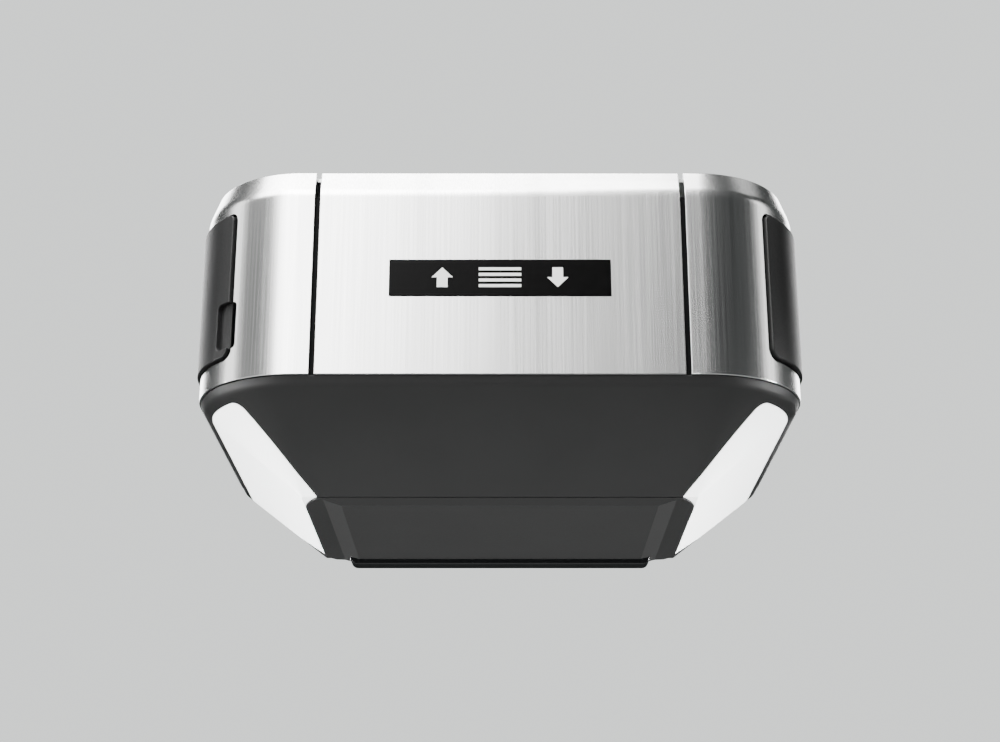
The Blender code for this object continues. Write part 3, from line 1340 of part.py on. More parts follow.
def build_gland():
    """Power cord gland in the rear panel. The cord itself is left out."""
    r = GLAND_DIAMETER / 2
    bore = GLAND_BORE / 2
    profile = [
        (bore, REAR_INNER - 8),
        (r, REAR_INNER - 8),
        (r, REAR + FIT),
        (r + 2.5, REAR + FIT),
        (r + 2.5, REAR + 3),
        (bore + 2.6, REAR + 6.5),
        (bore, REAR + 6.5),
    ]
    make_object("cord_gland", turned(profile, "Y", (GLAND_X, 0, GLAND_Z), 28), "black_plastic")


def build_battery():
    """Sealed 12 V backup battery, on a shallow tray just inside the side door."""
    left = -HALF_WIDTH + BATTERY_SIDE
    side_middle = (FRONT + FRONT_RADIUS + REAR - REAR_RADIUS) / 2
    front = side_middle - BATTERY_AHEAD - BATTERY_LENGTH / 2
    top = CHASSIS_BASE - BATTERY_TOP
    low = (left, front, top - BATTERY_HEIGHT)
    high = (left + BATTERY_WIDTH, front + BATTERY_LENGTH, top)
    battery = make_object("battery", soft_block(low, high, 3), "battery_grey")
    for i, x in enumerate((left + 12, left + BATTERY_WIDTH - 12)):
        spade = block((x - 3, front + 6, top - 1), (x + 3, front + 14, top + 6))
        boolean(battery, f"battery_terminal_{i + 1}", spade, "UNION")
    wall = TRAY_WALL
    tray_low = (low[0] - 1, low[1] - wall - 1, low[2] - wall - FIT)
    tray_high = (high[0] + wall + 1, high[1] + wall + 1, low[2] + 10)
    tray = make_object("battery_tray", block(tray_low, tray_high), "black_plastic", smooth=False)
    room = block((low[0] - 9, low[1] - 1, low[2] - FIT), (high[0] + 1, high[1] + 1, low[2] + 30))
    boolean(tray, "cut_battery_room", room)


# ---- the whole opener ----------------------------------------------------------------------------


def clear_scene():
    """Removes every object that was there before."""
    for old in list(bpy.data.objects):
        bpy.data.objects.remove(old, do_unlink=True)


def main():
    clear_scene()
    build_front_panel()
    build_badge()
    for side in ("left", "right"):
        build_wrap(side)
        build_lens(side)
        build_led_board(side)
        build_hanger(side)
    build_inner_frame()
    build_battery_door()
    build_hinge_pin()
    build_side_cover()
    build_rear_panel()
    build_belly_cover()
    build_bottom_tray()
    build_sensor_window()
    build_chassis()
    build_saddle()
    build_worm_wheel()
    build_output_shaft()
    build_bushing("output_bush_upper", LID_TOP - LID_THICK - BUSH_FLANGE - FIT, LID_TOP - FIT, False)
    build_bushing("output_bush_lower", BOX_BASE - 1, BOX_BASE + GEARBOX_WALL + BUSH_FLANGE + FIT, True)
    build_worm_shaft()
    build_bearing("worm_bearing_inner", WORM_HALF_LENGTH + FIT)
    build_bearing("worm_bearing_outer", -(WORM_HALF_LENGTH + FIT + BEARING_WIDTH))
    build_bearing("motor_bearing", MOTOR_END)
    build_gearbox()
    build_gearbox_lid()
    build_sprocket()
    build_sprocket_clip()
    build_sprocket_cover()
    build_travel_gears()
    build_travel_module()
    build_motor()
    build_rpm_wheel()
    build_buttons()
    build_terminals()
    build_logic_board()
    build_board_parts()
    build_gland()
    build_battery()


main()
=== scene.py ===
"""Looks of a ceiling-hung garage door opener head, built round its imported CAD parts."""

import json
import math

import bmesh
import bpy
from mathutils import Matrix, Vector


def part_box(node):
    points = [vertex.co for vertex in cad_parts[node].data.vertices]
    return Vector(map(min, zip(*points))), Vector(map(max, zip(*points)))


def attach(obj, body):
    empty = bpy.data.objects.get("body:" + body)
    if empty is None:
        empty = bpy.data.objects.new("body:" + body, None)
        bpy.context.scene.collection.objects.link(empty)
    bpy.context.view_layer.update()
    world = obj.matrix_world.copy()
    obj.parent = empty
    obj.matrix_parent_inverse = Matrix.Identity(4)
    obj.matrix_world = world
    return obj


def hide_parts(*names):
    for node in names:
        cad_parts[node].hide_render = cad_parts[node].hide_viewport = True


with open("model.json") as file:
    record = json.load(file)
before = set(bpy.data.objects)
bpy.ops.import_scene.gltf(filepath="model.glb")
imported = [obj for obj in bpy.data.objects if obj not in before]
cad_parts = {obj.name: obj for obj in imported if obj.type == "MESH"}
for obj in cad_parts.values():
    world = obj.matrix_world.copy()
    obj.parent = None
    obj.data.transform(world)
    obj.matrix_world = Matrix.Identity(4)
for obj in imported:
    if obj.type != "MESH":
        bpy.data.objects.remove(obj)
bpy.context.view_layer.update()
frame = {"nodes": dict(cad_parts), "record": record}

MM = 0.001
SEAT_SINK = 0.05 * MM

# ---- places read from the frame, metres ----------------------------------------------------------

WRAP_LOW, WRAP_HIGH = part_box("wrap_right")
HALF_WIDTH = WRAP_HIGH.x
FRONT = WRAP_LOW.y
REAR = WRAP_HIGH.y
BAND_BASE = WRAP_LOW.z
BAND_TOP = WRAP_HIGH.z
PANEL_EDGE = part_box("front_panel")[1].x
DOOR_LOW, DOOR_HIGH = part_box("battery_door")
HULL_LOW, HULL_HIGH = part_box("belly_cover")
TRAY_LOW, TRAY_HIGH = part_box("bottom_tray")
BADGE_LOW, BADGE_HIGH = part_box("badge_plate")

# ---- sizes of the surface detail, metres ---------------------------------------------------------

FRONT_RADIUS = 57 * MM
REAR_RADIUS = 20 * MM
SKIN = 1.5 * MM
SEAM_EDGE = WRAP_LOW.x
RIM_ROLL = 0.45 * MM
TOP_STRIP = 13.5 * MM
TOP_LEAN = 5 * MM
SOFT_BEND = 3.0 * MM
DOOR_ANGLE = math.radians(39.3)
DOOR_PROUD = 1.8 * MM
DOOR_GAP = 1.3 * MM
DOOR_ROLL = 0.9 * MM
DOOR_BACK = 1.6 * MM
DOOR_TOP_RADIUS = 3.5 * MM
DOOR_BOTTOM_RADIUS = 5 * MM
DOOR_OPENING_REAR = FRONT + 190.8 * MM
HULL_INSET = 56.5 * MM
HULL_GAP = 1.0 * MM
HULL_RIM = 5 * MM
HULL_REAR_SHARE = 0.66
HULL_WALL = 2.2 * MM
HULL_LIP = 12 * MM
LENS_EDGE = 7.5 * MM
LENS_WRAP = 8.2 * MM
LENS_TIP_RADIUS = 6 * MM
LENS_BOW = 1.6 * MM
FIT = 0.3 * MM
CLOSE_FIT = 0.12 * MM
TRAY_CORNER = 8 * MM
TRAY_SWEEP = 23 * MM
TRAY_REAR_CORNER = 6 * MM
TRAY_EDGE = 0.4 * MM
TRAY_FRONT_SLOPE = 4.6 * MM
TRAY_FLAT_X = 84.5 * MM
TRAY_STEP_X = 94 * MM
TRAY_STEP_UP = 2.5 * MM
LEAST_RADIUS = 1 * MM
FRONT_ARC_CUTS = 60
REAR_ARC_CUTS = 30
SOFT_BEND_CUTS = 6
NOTCH_LOW = BAND_BASE + 18.5 * MM
NOTCH_HIGH = BAND_BASE + 44 * MM
NOTCH_IN_DOOR = 9 * MM
NOTCH_IN_BAND = 2.5 * MM
NOTCH_FLOOR = 1 * MM
NOTCH_RADIUS = 2.2 * MM
NOTCH_DOOR_RADIUS = 3 * MM
NOTCH_OVERLAP = 6 * MM
OPENING_OUT = 3 * MM
OPENING_IN = 6 * MM
THROUGH = 5 * MM  # how far a cutter reaches past what it cuts

FLAT_FRONT = HALF_WIDTH - FRONT_RADIUS
FRONT_ARC = FRONT_RADIUS * math.pi / 2
SIDE_START = FLAT_FRONT + FRONT_ARC
SIDE_LENGTH = REAR - FRONT - FRONT_RADIUS - REAR_RADIUS
REAR_ARC = REAR_RADIUS * math.pi / 2
REAR_ARC_START = SIDE_START + SIDE_LENGTH
REAR_START = REAR_ARC_START + REAR_ARC
PATH_END = REAR_START + HALF_WIDTH - REAR_RADIUS - SEAM_EDGE
REAR_MIDDLE = REAR_START + HALF_WIDTH - REAR_RADIUS

# ---- camera --------------------------------------------------------------------------------------

CAMERA_BACK = 836.1 * MM
CAMERA_DROP = 291.2 * MM
CAMERA_PITCH = math.radians(109.3)
CAMERA_LENS = 62.5
SENSOR_WIDTH = 36


def make_camera():
    """Looks up at the front panel from below its lower edge."""
    data = bpy.data.cameras.new("view")
    data.lens = CAMERA_LENS
    data.sensor_width = SENSOR_WIDTH
    camera = bpy.data.objects.new("view", data)
    camera.location = (0, FRONT - CAMERA_BACK, BAND_BASE - CAMERA_DROP)
    camera.rotation_euler = (CAMERA_PITCH, 0, 0)
    bpy.context.scene.collection.objects.link(camera)
    bpy.context.scene.camera = camera


make_camera()

# ---- material helpers ----------------------------------------------------------------------------


def linear(hex_colour):
    """sRGB hex to the linear colour that shaders take."""
    parts = [int(hex_colour[i : i + 2], 16) / 255 for i in (0, 2, 4)]
    return (*[p / 12.92 if p <= 0.04045 else ((p + 0.055) / 1.055) ** 2.4 for p in parts], 1.0)


def add(tree, kind, inputs=None, **settings):
    """A shader node with its settings, and its inputs as values or as links from other nodes' sockets."""
    node = tree.nodes.new(kind)
    for key, value in settings.items():
        setattr(node, key, value)
    for key, value in (inputs or {}).items():
        if isinstance(value, bpy.types.NodeSocket):
            tree.links.new(value, node.inputs[key])
        else:
            node.inputs[key].default_value = value
    return node


def blank_material(name, roughness, metallic=0.0, ior=None):
    made = bpy.data.materials.new(name)
    made.use_nodes = True
    shader = made.node_tree.nodes["Principled BSDF"]
    shader.inputs["Roughness"].default_value = roughness
    shader.inputs["Metallic"].default_value = metallic
    if ior:
        shader.inputs["IOR"].default_value = ior
    return made, made.node_tree, shader


USUAL_DRIFT = (0.35, 0.65)


def finished(tree, shader, tone=None, rough=None, raised=()):
    """Gives a surface its drift of colour, its range of roughness and its relief.

    tone is (pattern, low hex, high hex, where low ends, where high starts), rough is
    (pattern, least, most), and each raised is (pattern, strength, depth in metres).
    """
    if tone:
        pattern, low, high, start, end = tone
        ramp = add(tree, "ShaderNodeValToRGB", {"Fac": pattern})
        ramp.color_ramp.elements[0].position = start
        ramp.color_ramp.elements[0].color = linear(low)
        ramp.color_ramp.elements[1].position = end
        ramp.color_ramp.elements[1].color = linear(high)
        tree.links.new(ramp.outputs["Color"], shader.inputs["Base Color"])
    if rough:
        pattern, least, most = rough
        span = add(tree, "ShaderNodeMapRange", {"Value": pattern, "To Min": least, "To Max": most})
        tree.links.new(span.outputs["Result"], shader.inputs["Roughness"])
    under = {}
    for pattern, strength, depth in raised:
        inputs = {"Height": pattern, "Strength": strength, "Distance": depth, **under}
        bump = add(tree, "ShaderNodeBump", inputs)
        tree.links.new(bump.outputs["Normal"], shader.inputs["Normal"])
        under = {"Normal": bump.outputs["Normal"]}


# ---- materials -----------------------------------------------------------------------------------


def brushed_stainless():
    """Brushed stainless sheet: upright hairlines that smear reflections sideways."""
    made, tree, shader = blank_material("brushed_stainless", 0.3, 1.0)
    shader.inputs["Anisotropic"].default_value = 0.4
    tangent = add(tree, "ShaderNodeTangent", direction_type="RADIAL", axis="Z")
    tree.links.new(tangent.outputs["Tangent"], shader.inputs["Tangent"])
    coords = add(tree, "ShaderNodeTexCoord").outputs["Object"]
    # hairlines 0.1 mm apart in the real sheet, drawn 0.7 mm apart so that they show, 150 mm long
    hair_at = add(tree, "ShaderNodeMapping", {"Vector": coords, "Scale": (1400, 1400, 7)})
    hair = add(tree, "ShaderNodeTexNoise", {"Vector": hair_at.outputs["Vector"], "Scale": 1.0, "Detail": 4.0})
    # broad streaks 17 mm wide
    broad_at = add(tree, "ShaderNodeMapping", {"Vector": coords, "Scale": (60, 60, 3)})
    broad = add(
        tree, "ShaderNodeTexNoise", {"Vector": broad_at.outputs["Vector"], "Scale": 1.0, "Detail": 2.0}
    )
    inputs = {"Factor": 0.35, "A": hair.outputs["Fac"], "B": broad.outputs["Fac"]}
    both = add(tree, "ShaderNodeMix", inputs, data_type="FLOAT")
    tone = (both.outputs["Result"], "c0c0bf", "e3e3e2", *USUAL_DRIFT)
    rough = (both.outputs["Result"], 0.19, 0.26)
    finished(tree, shader, tone, rough, [(hair.outputs["Fac"], 0.008, 0.05 * MM)])
    return made


def moulded(name, dark, light, roughness, grain_mm, depth_mm, strength=0.5, ior=1.5, specular=0.5):
    """Moulded plastic: a spark-eroded tool gives it a fine even tooth, with slight cloudiness."""
    made, tree, shader = blank_material(name, roughness, 0.0, ior)
    shader.inputs["Specular IOR Level"].default_value = specular
    coords = add(tree, "ShaderNodeTexCoord").outputs["Object"]
    grain_at = add(tree, "ShaderNodeMapping", {"Vector": coords, "Scale": (1000 / grain_mm,) * 3})
    grain = add(
        tree, "ShaderNodeTexNoise", {"Vector": grain_at.outputs["Vector"], "Scale": 1.0, "Detail": 3.0}
    )
    # cloudy patches 40 mm across
    cloud_at = add(tree, "ShaderNodeMapping", {"Vector": coords, "Scale": (25, 25, 25)})
    cloud = add(
        tree, "ShaderNodeTexNoise", {"Vector": cloud_at.outputs["Vector"], "Scale": 1.0, "Detail": 2.0}
    )
    inputs = {"Factor": 0.5, "A": grain.outputs["Fac"], "B": cloud.outputs["Fac"]}
    both = add(tree, "ShaderNodeMix", inputs, data_type="FLOAT")
    tone = (both.outputs["Result"], dark, light, *USUAL_DRIFT)
    rough = (grain.outputs["Fac"], roughness - 0.05, roughness + 0.07)
    finished(tree, shader, tone, rough, [(grain.outputs["Fac"], strength, depth_mm * MM)])
    return made


def leather_grain_plastic():
    """Side doors: moulded polypropylene with a pebbled grain, small cells with sunk borders."""
    made, tree, shader = blank_material("pebbled_polypropylene", 0.6, 0.0, 1.49)
    shader.inputs["Specular IOR Level"].default_value = 0.3
    coords = add(tree, "ShaderNodeTexCoord").outputs["Object"]
    # pebbles 1.1 mm across
    cells_at = add(tree, "ShaderNodeMapping", {"Vector": coords, "Scale": (900, 900, 900)})
    cells = add(
        tree, "ShaderNodeTexVoronoi", {"Vector": cells_at.outputs["Vector"], "Scale": 1.0}, feature="F1"
    )
    # a fine tooth of 0.3 mm on the pebbles
    fine_at = add(tree, "ShaderNodeMapping", {"Vector": coords, "Scale": (3500, 3500, 3500)})
    fine = add(tree, "ShaderNodeTexNoise", {"Vector": fine_at.outputs["Vector"], "Scale": 1.0, "Detail": 2.0})
    # each pebble is painted darker toward its sunk border, as painted shade in the grain's hollows
    tone = (cells.outputs["Distance"], "181818", "0e0e0e", 0.2, 0.8)
    rough = (fine.outputs["Fac"], 0.48, 0.62)
    raised = [(fine.outputs["Fac"], 0.25, 0.05 * MM), (cells.outputs["Distance"], -0.5, 0.15 * MM)]
    finished(tree, shader, tone, rough, raised)
    return made


def frosted_diffuser():
    """Light lens: opal acrylic that glows, with a faint cloudiness."""
    made, tree, shader = blank_material("opal_acrylic", 0.32, 0.0, 1.49)
    coords = add(tree, "ShaderNodeTexCoord").outputs["Object"]
    # cloudy patches 55 mm across, under a frosting of 0.6 mm
    patch_at = add(tree, "ShaderNodeMapping", {"Vector": coords, "Scale": (18, 18, 18)})
    patch = add(
        tree, "ShaderNodeTexNoise", {"Vector": patch_at.outputs["Vector"], "Scale": 1.0, "Detail": 1.0}
    )
    frost_at = add(tree, "ShaderNodeMapping", {"Vector": coords, "Scale": (1600, 1600, 1600)})
    frost = add(
        tree, "ShaderNodeTexNoise", {"Vector": frost_at.outputs["Vector"], "Scale": 1.0, "Detail": 2.0}
    )
    tone = (patch.outputs["Fac"], "eef0ef", "f7f8f7", *USUAL_DRIFT)
    finished(tree, shader, tone, raised=[(frost.outputs["Fac"], 0.15, 0.04 * MM)])
    shader.inputs["Subsurface Weight"].default_value = 0.15
    shader.inputs["Subsurface Radius"].default_value = (0.004, 0.004, 0.004)
    glow = add(tree, "ShaderNodeValToRGB", {"Fac": patch.outputs["Fac"]})
    glow.color_ramp.elements[0].color = linear("f1f4f4")
    glow.color_ramp.elements[1].color = linear("ffffff")
    tree.links.new(glow.outputs["Color"], shader.inputs["Emission Color"])
    shader.inputs["Emission Strength"].default_value = 2.6
    return made


def metal(name, dark, light, roughness, grain_mm, depth_mm, stretch=(1, 1, 1)):
    """Bare or plated metal with a fine broken-up surface."""
    made, tree, shader = blank_material(name, roughness, 1.0)
    cells = tuple(1000 / grain_mm * s for s in stretch)
    coords = add(tree, "ShaderNodeTexCoord").outputs["Object"]
    grain_at = add(tree, "ShaderNodeMapping", {"Vector": coords, "Scale": cells})
    grain = add(
        tree, "ShaderNodeTexNoise", {"Vector": grain_at.outputs["Vector"], "Scale": 1.0, "Detail": 4.0}
    )
    # cloudy patches 14 mm across
    cloud_at = add(tree, "ShaderNodeMapping", {"Vector": coords, "Scale": (70, 70, 70)})
    cloud = add(
        tree, "ShaderNodeTexNoise", {"Vector": cloud_at.outputs["Vector"], "Scale": 1.0, "Detail": 3.0}
    )
    tone = (cloud.outputs["Fac"], dark, light, *USUAL_DRIFT)
    rough = (cloud.outputs["Fac"], roughness - 0.03, roughness + 0.04)
    finished(tree, shader, tone, rough, [(grain.outputs["Fac"], 0.35, depth_mm * MM)])
    return made


def circuit_board():
    """Fibreglass board: green solder mask with a brick pattern for its copper tracks."""
    made, tree, shader = blank_material("green_solder_mask", 0.35, 0.0, 1.55)
    coords = add(tree, "ShaderNodeTexCoord").outputs["Object"]
    turn = (math.radians(90), 0, 0)
    tracks_at = add(tree, "ShaderNodeMapping", {"Vector": coords, "Scale": (1, 1, 1), "Rotation": turn})
    inputs = {"Vector": tracks_at.outputs["Vector"], "Scale": 220.0, "Mortar Size": 0.03}
    tracks = add(tree, "ShaderNodeTexBrick", inputs)
    tracks.inputs["Color1"].default_value = linear("1d5a34")
    tracks.inputs["Color2"].default_value = linear("174a2b")
    tracks.inputs["Mortar"].default_value = linear("2f7a4b")
    tree.links.new(tracks.outputs["Color"], shader.inputs["Base Color"])
    finished(tree, shader, raised=[(tracks.outputs["Fac"], 0.3, 0.05 * MM)])
    return made


STEEL_SKIN = brushed_stainless()
HULL_PLASTIC = moulded("charcoal_abs", "181818", "1c1c1c", 0.5, 0.8, 0.03, specular=0.3)
# the tray's plastic is a touch lighter than the hull's, and lifted further as painted light on its downward
# faces
TRAY_PLASTIC_PAINTED_LIT = moulded("charcoal_abs_painted_lit", "292929", "2d2d2d", 0.5, 0.7, 0.04, specular=0.3)
# black plastic made almost colourless and unreflective as painted shade in the seams round the doors and
# behind the finger notch
FRAME_PLASTIC_PAINTED_SHADE = moulded("black_abs_frame_with_painted_shade", "020202", "050505", 0.6, 0.9, 0.04, specular=0.05)
BADGE_PLASTIC = moulded("black_acrylic", "020202", "040404", 0.3, 2.5, 0.004, 0.1, specular=0.04)
SENSOR_PLASTIC = moulded("smoked_acrylic", "08090a", "0c0d0e", 0.2, 2.5, 0.004, 0.1)
DOOR_PLASTIC = leather_grain_plastic()
LENS_PLASTIC = frosted_diffuser()
ZINC = metal("zinc_plated_steel", "adb0ae", "b9bbb8", 0.38, 1.6, 0.015)
GROUND_STEEL = metal("ground_steel", "8b8c8e", "a9aaab", 0.28, 0.5, 0.01)
CAST = metal("cast_aluminium", "9b9c9c", "b7b8b7", 0.52, 0.7, 0.08)
BRONZE = metal("sintered_bronze", "9a7242", "b88a55", 0.42, 0.4, 0.03)
COPPER = metal("enamelled_copper", "8d4b25", "b5653a", 0.35, 0.6, 0.05)
LAMINATION = metal("stacked_lamination_steel", "55575a", "74767a", 0.45, 0.6, 0.06, (0.05, 0.05, 1))
FERRITE = moulded("sintered_ferrite", "1b1b1c", "252526", 0.6, 0.5, 0.05)
NYLON = moulded("natural_nylon", "d8d2bd", "e4dfcd", 0.48, 0.8, 0.02)
GREY_PART = moulded("grey_component_plastic", "26272a", "303236", 0.48, 0.7, 0.03)
WHITE_TAB = moulded("white_nylon_tab", "d2d2cd", "dededa", 0.45, 0.7, 0.02)
RED_TAB = moulded("red_nylon_tab", "8c1a16", "9c231d", 0.45, 0.7, 0.02)
YELLOW_BUTTON = moulded("yellow_button_plastic", "d8a71c", "e6b82a", 0.4, 0.7, 0.02)
BOARD = circuit_board()
PRINT = moulded("white_print_ink", "dfe1e0", "ececea", 0.5, 0.6, 0.01)

SLOT_MATERIALS = {
    "band_steel": STEEL_SKIN,
    "badge_black": BADGE_PLASTIC,
    "frame_black": FRAME_PLASTIC_PAINTED_SHADE,
    "hull_charcoal": HULL_PLASTIC,
    "tray_grey": TRAY_PLASTIC_PAINTED_LIT,
    "cover_grain": DOOR_PLASTIC,
    "lens_white": LENS_PLASTIC,
    "sensor_black": SENSOR_PLASTIC,
    "zinc_steel": ZINC,
    "gear_steel": GROUND_STEEL,
    "gear_nylon": NYLON,
    "sintered_bronze": BRONZE,
    "copper_winding": COPPER,
    "cast_aluminium": CAST,
    "board_green": BOARD,
    "part_grey": GREY_PART,
    "button_yellow": YELLOW_BUTTON,
    "tab_white": WHITE_TAB,
    "tab_red": RED_TAB,
    "ferrite": FERRITE,
    "lamination": LAMINATION,
}

NODE_SLOT = {entry["node"]: entry["material_slot"] for entry in frame["record"]["subparts"]}
NODE_BODY = {
    node: body for body, members in frame["record"]["behaviour"]["bodies"].items() for node in members
}

# ---- mesh helpers --------------------------------------------------------------------------------


def block(low, high):
    """A bmesh box between two corners."""
    shape = bmesh.new()
    bmesh.ops.create_cube(shape, size=1.0)
    low, high = Vector(low), Vector(high)
    bmesh.ops.scale(shape, vec=high - low, verts=shape.verts)
    bmesh.ops.translate(shape, vec=(low + high) / 2, verts=shape.verts)
    return shape


def bevel(shape, edges, width, segments):
    bmesh.ops.bevel(
        shape,
        geom=list(edges),
        offset=width,
        offset_type="OFFSET",
        segments=segments,
        profile=0.5,
        affect="EDGES",
        clamp_overlap=True,
        material=-1,
    )


def edges_where(shape, test):
    return [e for e in shape.edges if test(e.verts[0].co, e.verts[1].co)]


def piece(name, shape, node, smooth_angle=32):
    """The finished object: it rides on its node's body and stands for that node."""
    mesh = bpy.data.meshes.new(name)
    shape.to_mesh(mesh)
    shape.free()
    made = bpy.data.objects.new(name, mesh)
    bpy.context.scene.collection.objects.link(made)
    mesh.materials.append(SLOT_MATERIALS[NODE_SLOT[node]])
    mesh.shade_smooth()
    mesh.set_sharp_from_angle(angle=math.radians(smooth_angle))
    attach(made, NODE_BODY[node])
    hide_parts(node)
    # large flat faces keep their own direction beside rolled edges
    even = made.modifiers.new("even_normals", "WEIGHTED_NORMAL")
    even.keep_sharp = True
    return made


def carved(shape, cutter, operation="DIFFERENCE"):
    """The shape after an exact Boolean with a cutter. Both are used up."""
    pair = []
    for i, source in enumerate((shape, cutter)):
        bmesh.ops.recalc_face_normals(source, faces=source.faces)
        mesh = bpy.data.meshes.new(f"carve_{i}")
        source.to_mesh(mesh)
        source.free()
        helper = bpy.data.objects.new(f"carve_{i}", mesh)
        bpy.context.scene.collection.objects.link(helper)
        pair.append(helper)
    step = pair[0].modifiers.new("carve", "BOOLEAN")
    step.object = pair[1]
    step.operation = operation
    step.solver = "EXACT"
    graph = bpy.context.evaluated_depsgraph_get()
    result = bmesh.new()
    result.from_object(pair[0], graph)
    for helper in pair:
        mesh = helper.data
        bpy.data.objects.remove(helper)
        bpy.data.meshes.remove(mesh)
    bmesh.ops.remove_doubles(result, verts=result.verts, dist=0.002 * MM)
    return result


def join(shape, other):
    """Adds another bmesh's islands to a shape. The other is used up."""
    mesh = bpy.data.meshes.new("join")
    other.to_mesh(mesh)
    other.free()
    shape.from_mesh(mesh)
    bpy.data.meshes.remove(mesh)


def add_disc(shape, sides, radius, height, middle_z):
    """Upright prism round the Z axis, in a bmesh that is still empty."""
    bmesh.ops.create_cone(shape, cap_ends=True, segments=sides, radius1=radius, radius2=radius, depth=height)
    bmesh.ops.translate(shape, vec=(0, 0, middle_z), verts=shape.verts)


def pan_head(diameter, height):
    """Screw head with a domed rim and a cross recess, seated at the origin and facing up."""
    shape = bmesh.new()
    add_disc(shape, 28, diameter / 2, height, height / 2 - SEAT_SINK)
    bevel(shape, edges_where(shape, lambda a, b: min(a.z, b.z) > height / 2), height * 0.5, 4)
    reach = diameter * 0.3
    half = diameter * 0.06
    for x, y in ((reach, half), (half, reach)):
        shape = carved(shape, block((-x, -y, height * 0.3), (x, y, height * 2)))
    return shape


def hex_head(diameter, height):
    """Hexagon bolt head on its washer, seated at the origin and facing up."""
    shape = bmesh.new()
    add_disc(shape, 32, diameter * 0.62, height * 0.25, height * 0.125 - SEAT_SINK)
    head = bmesh.new()
    add_disc(head, 6, diameter / 2, height, height * 0.7)
    bevel(head, edges_where(head, lambda a, b: min(a.z, b.z) > height), height * 0.1, 2)
    join(shape, head)
    return shape


def fit_at(shape, fitting, places, turn):
    """Adds copies of a small part in the second material, turned the same way. The part is used up."""
    for face in fitting.faces:
        face.material_index = 1
    mesh = bpy.data.meshes.new("fitting")
    fitting.to_mesh(mesh)
    fitting.free()
    for place in places:
        one = bmesh.new()
        one.from_mesh(mesh)
        bmesh.ops.transform(one, matrix=Matrix.Translation(place) @ turn.to_4x4(), verts=one.verts)
        join(shape, one)
    bpy.data.meshes.remove(mesh)


# ---- sheet work: flat patterns bent round the body -----------------------------------------------


def path_point(run, depth, rear_share=1.0):
    """Plan point of the body's +X side at a run along its outline, drawn in by a depth.

    The run starts at the front's middle. At depths past the hull's rim, the rear is drawn in by
    only a share of the depth.
    """
    rear_depth = depth * rear_share if depth > HULL_RIM else depth
    side_x = HALF_WIDTH - depth
    front_r = max(FRONT_RADIUS - depth, LEAST_RADIUS)
    rear_r = max(REAR_RADIUS - depth, LEAST_RADIUS)
    front_y = FRONT + depth
    rear_y = REAR - rear_depth
    if run <= FLAT_FRONT:
        return run / FLAT_FRONT * (side_x - front_r), front_y
    if run <= SIDE_START:
        a = (run - FLAT_FRONT) / FRONT_RADIUS
        return side_x - front_r + front_r * math.sin(a), front_y + front_r - front_r * math.cos(a)
    if run <= REAR_ARC_START:
        share = (run - SIDE_START) / SIDE_LENGTH
        start = front_y + front_r
        return side_x, start + share * (rear_y - rear_r - start)
    if run <= REAR_START:
        a = (run - REAR_ARC_START) / REAR_RADIUS
        return side_x - rear_r + rear_r * math.cos(a), rear_y - rear_r + rear_r * math.sin(a)
    share = (run - REAR_START) / (HALF_WIDTH - REAR_RADIUS)
    return (side_x - rear_r) * (1 - share), rear_y


def lean(height):
    """How far the band's top strip leans in at a height, with a soft bend at its foot."""
    above = height - (BAND_TOP - TOP_STRIP)
    slope = TOP_LEAN / TOP_STRIP
    if above <= -SOFT_BEND:
        return 0.0
    if above < SOFT_BEND:
        return slope * (above + SOFT_BEND) ** 2 / (4 * SOFT_BEND)
    return slope * above


def cut_lines(shape, axis, places):
    """Splits a flat pattern along lines, so that it can bend there."""
    normal = Vector((axis == "X", axis == "Y", axis == "Z"))
    for place in places:
        geom = shape.verts[:] + shape.edges[:] + shape.faces[:]
        bmesh.ops.bisect_plane(shape, geom=geom, plane_co=normal * place, plane_no=normal, dist=1e-7)


def steps_between(start, end, count):
    return [start + (end - start) * i / count for i in range(count + 1)]


def soft_bend_lines():
    """Heights across the bend at the top strip's foot."""
    foot = BAND_TOP - TOP_STRIP
    return steps_between(foot - SOFT_BEND, foot + SOFT_BEND, SOFT_BEND_CUTS)


def bent(shape, left=False, leaning=True, rear_share=1.0):
    """Bends a flat pattern, X along the outline, Y inwards and Z up, round the body."""
    low = min(v.co.x for v in shape.verts)
    high = max(v.co.x for v in shape.verts)
    runs = steps_between(FLAT_FRONT, SIDE_START, FRONT_ARC_CUTS)
    runs += steps_between(REAR_ARC_START, REAR_START, REAR_ARC_CUTS)
    cut_lines(shape, "X", [run for run in runs if low < run < high])
    if leaning:
        cut_lines(shape, "Z", soft_bend_lines())
    for vert in shape.verts:
        extra = lean(vert.co.z) if leaning else 0.0
        x, y = path_point(vert.co.x, vert.co.y + extra, rear_share)
        vert.co.x = -x if left else x
        vert.co.y = y
    bmesh.ops.recalc_face_normals(shape, faces=shape.faces)
    return shape


def plate(low, high, corner_radii=None):
    """A flat plate, X along, Y through and Z up. corner_radii maps (x end, z end) to a radius."""
    shape = block(low, high)
    for (at_high_x, at_high_z), radius in (corner_radii or {}).items():
        x = high[0] if at_high_x else low[0]
        z = high[2] if at_high_z else low[2]
        corner = edges_where(
            shape, lambda a, b: all(abs(p.x - x) < 1e-6 and abs(p.z - z) < 1e-6 for p in (a, b))
        )
        bevel(shape, corner, radius, 8)
    return shape


def roll_rim(shape, face_y, width, segments=3):
    """Rounds the edges of a plate's face at a depth."""
    rim = [
        e
        for e in shape.edges
        if all(abs(v.co.y - face_y) < 1e-6 for v in e.verts)
        and len(e.link_faces) == 2
        and e.calc_face_angle(0) > math.radians(60)
    ]
    bevel(shape, rim, width, segments)


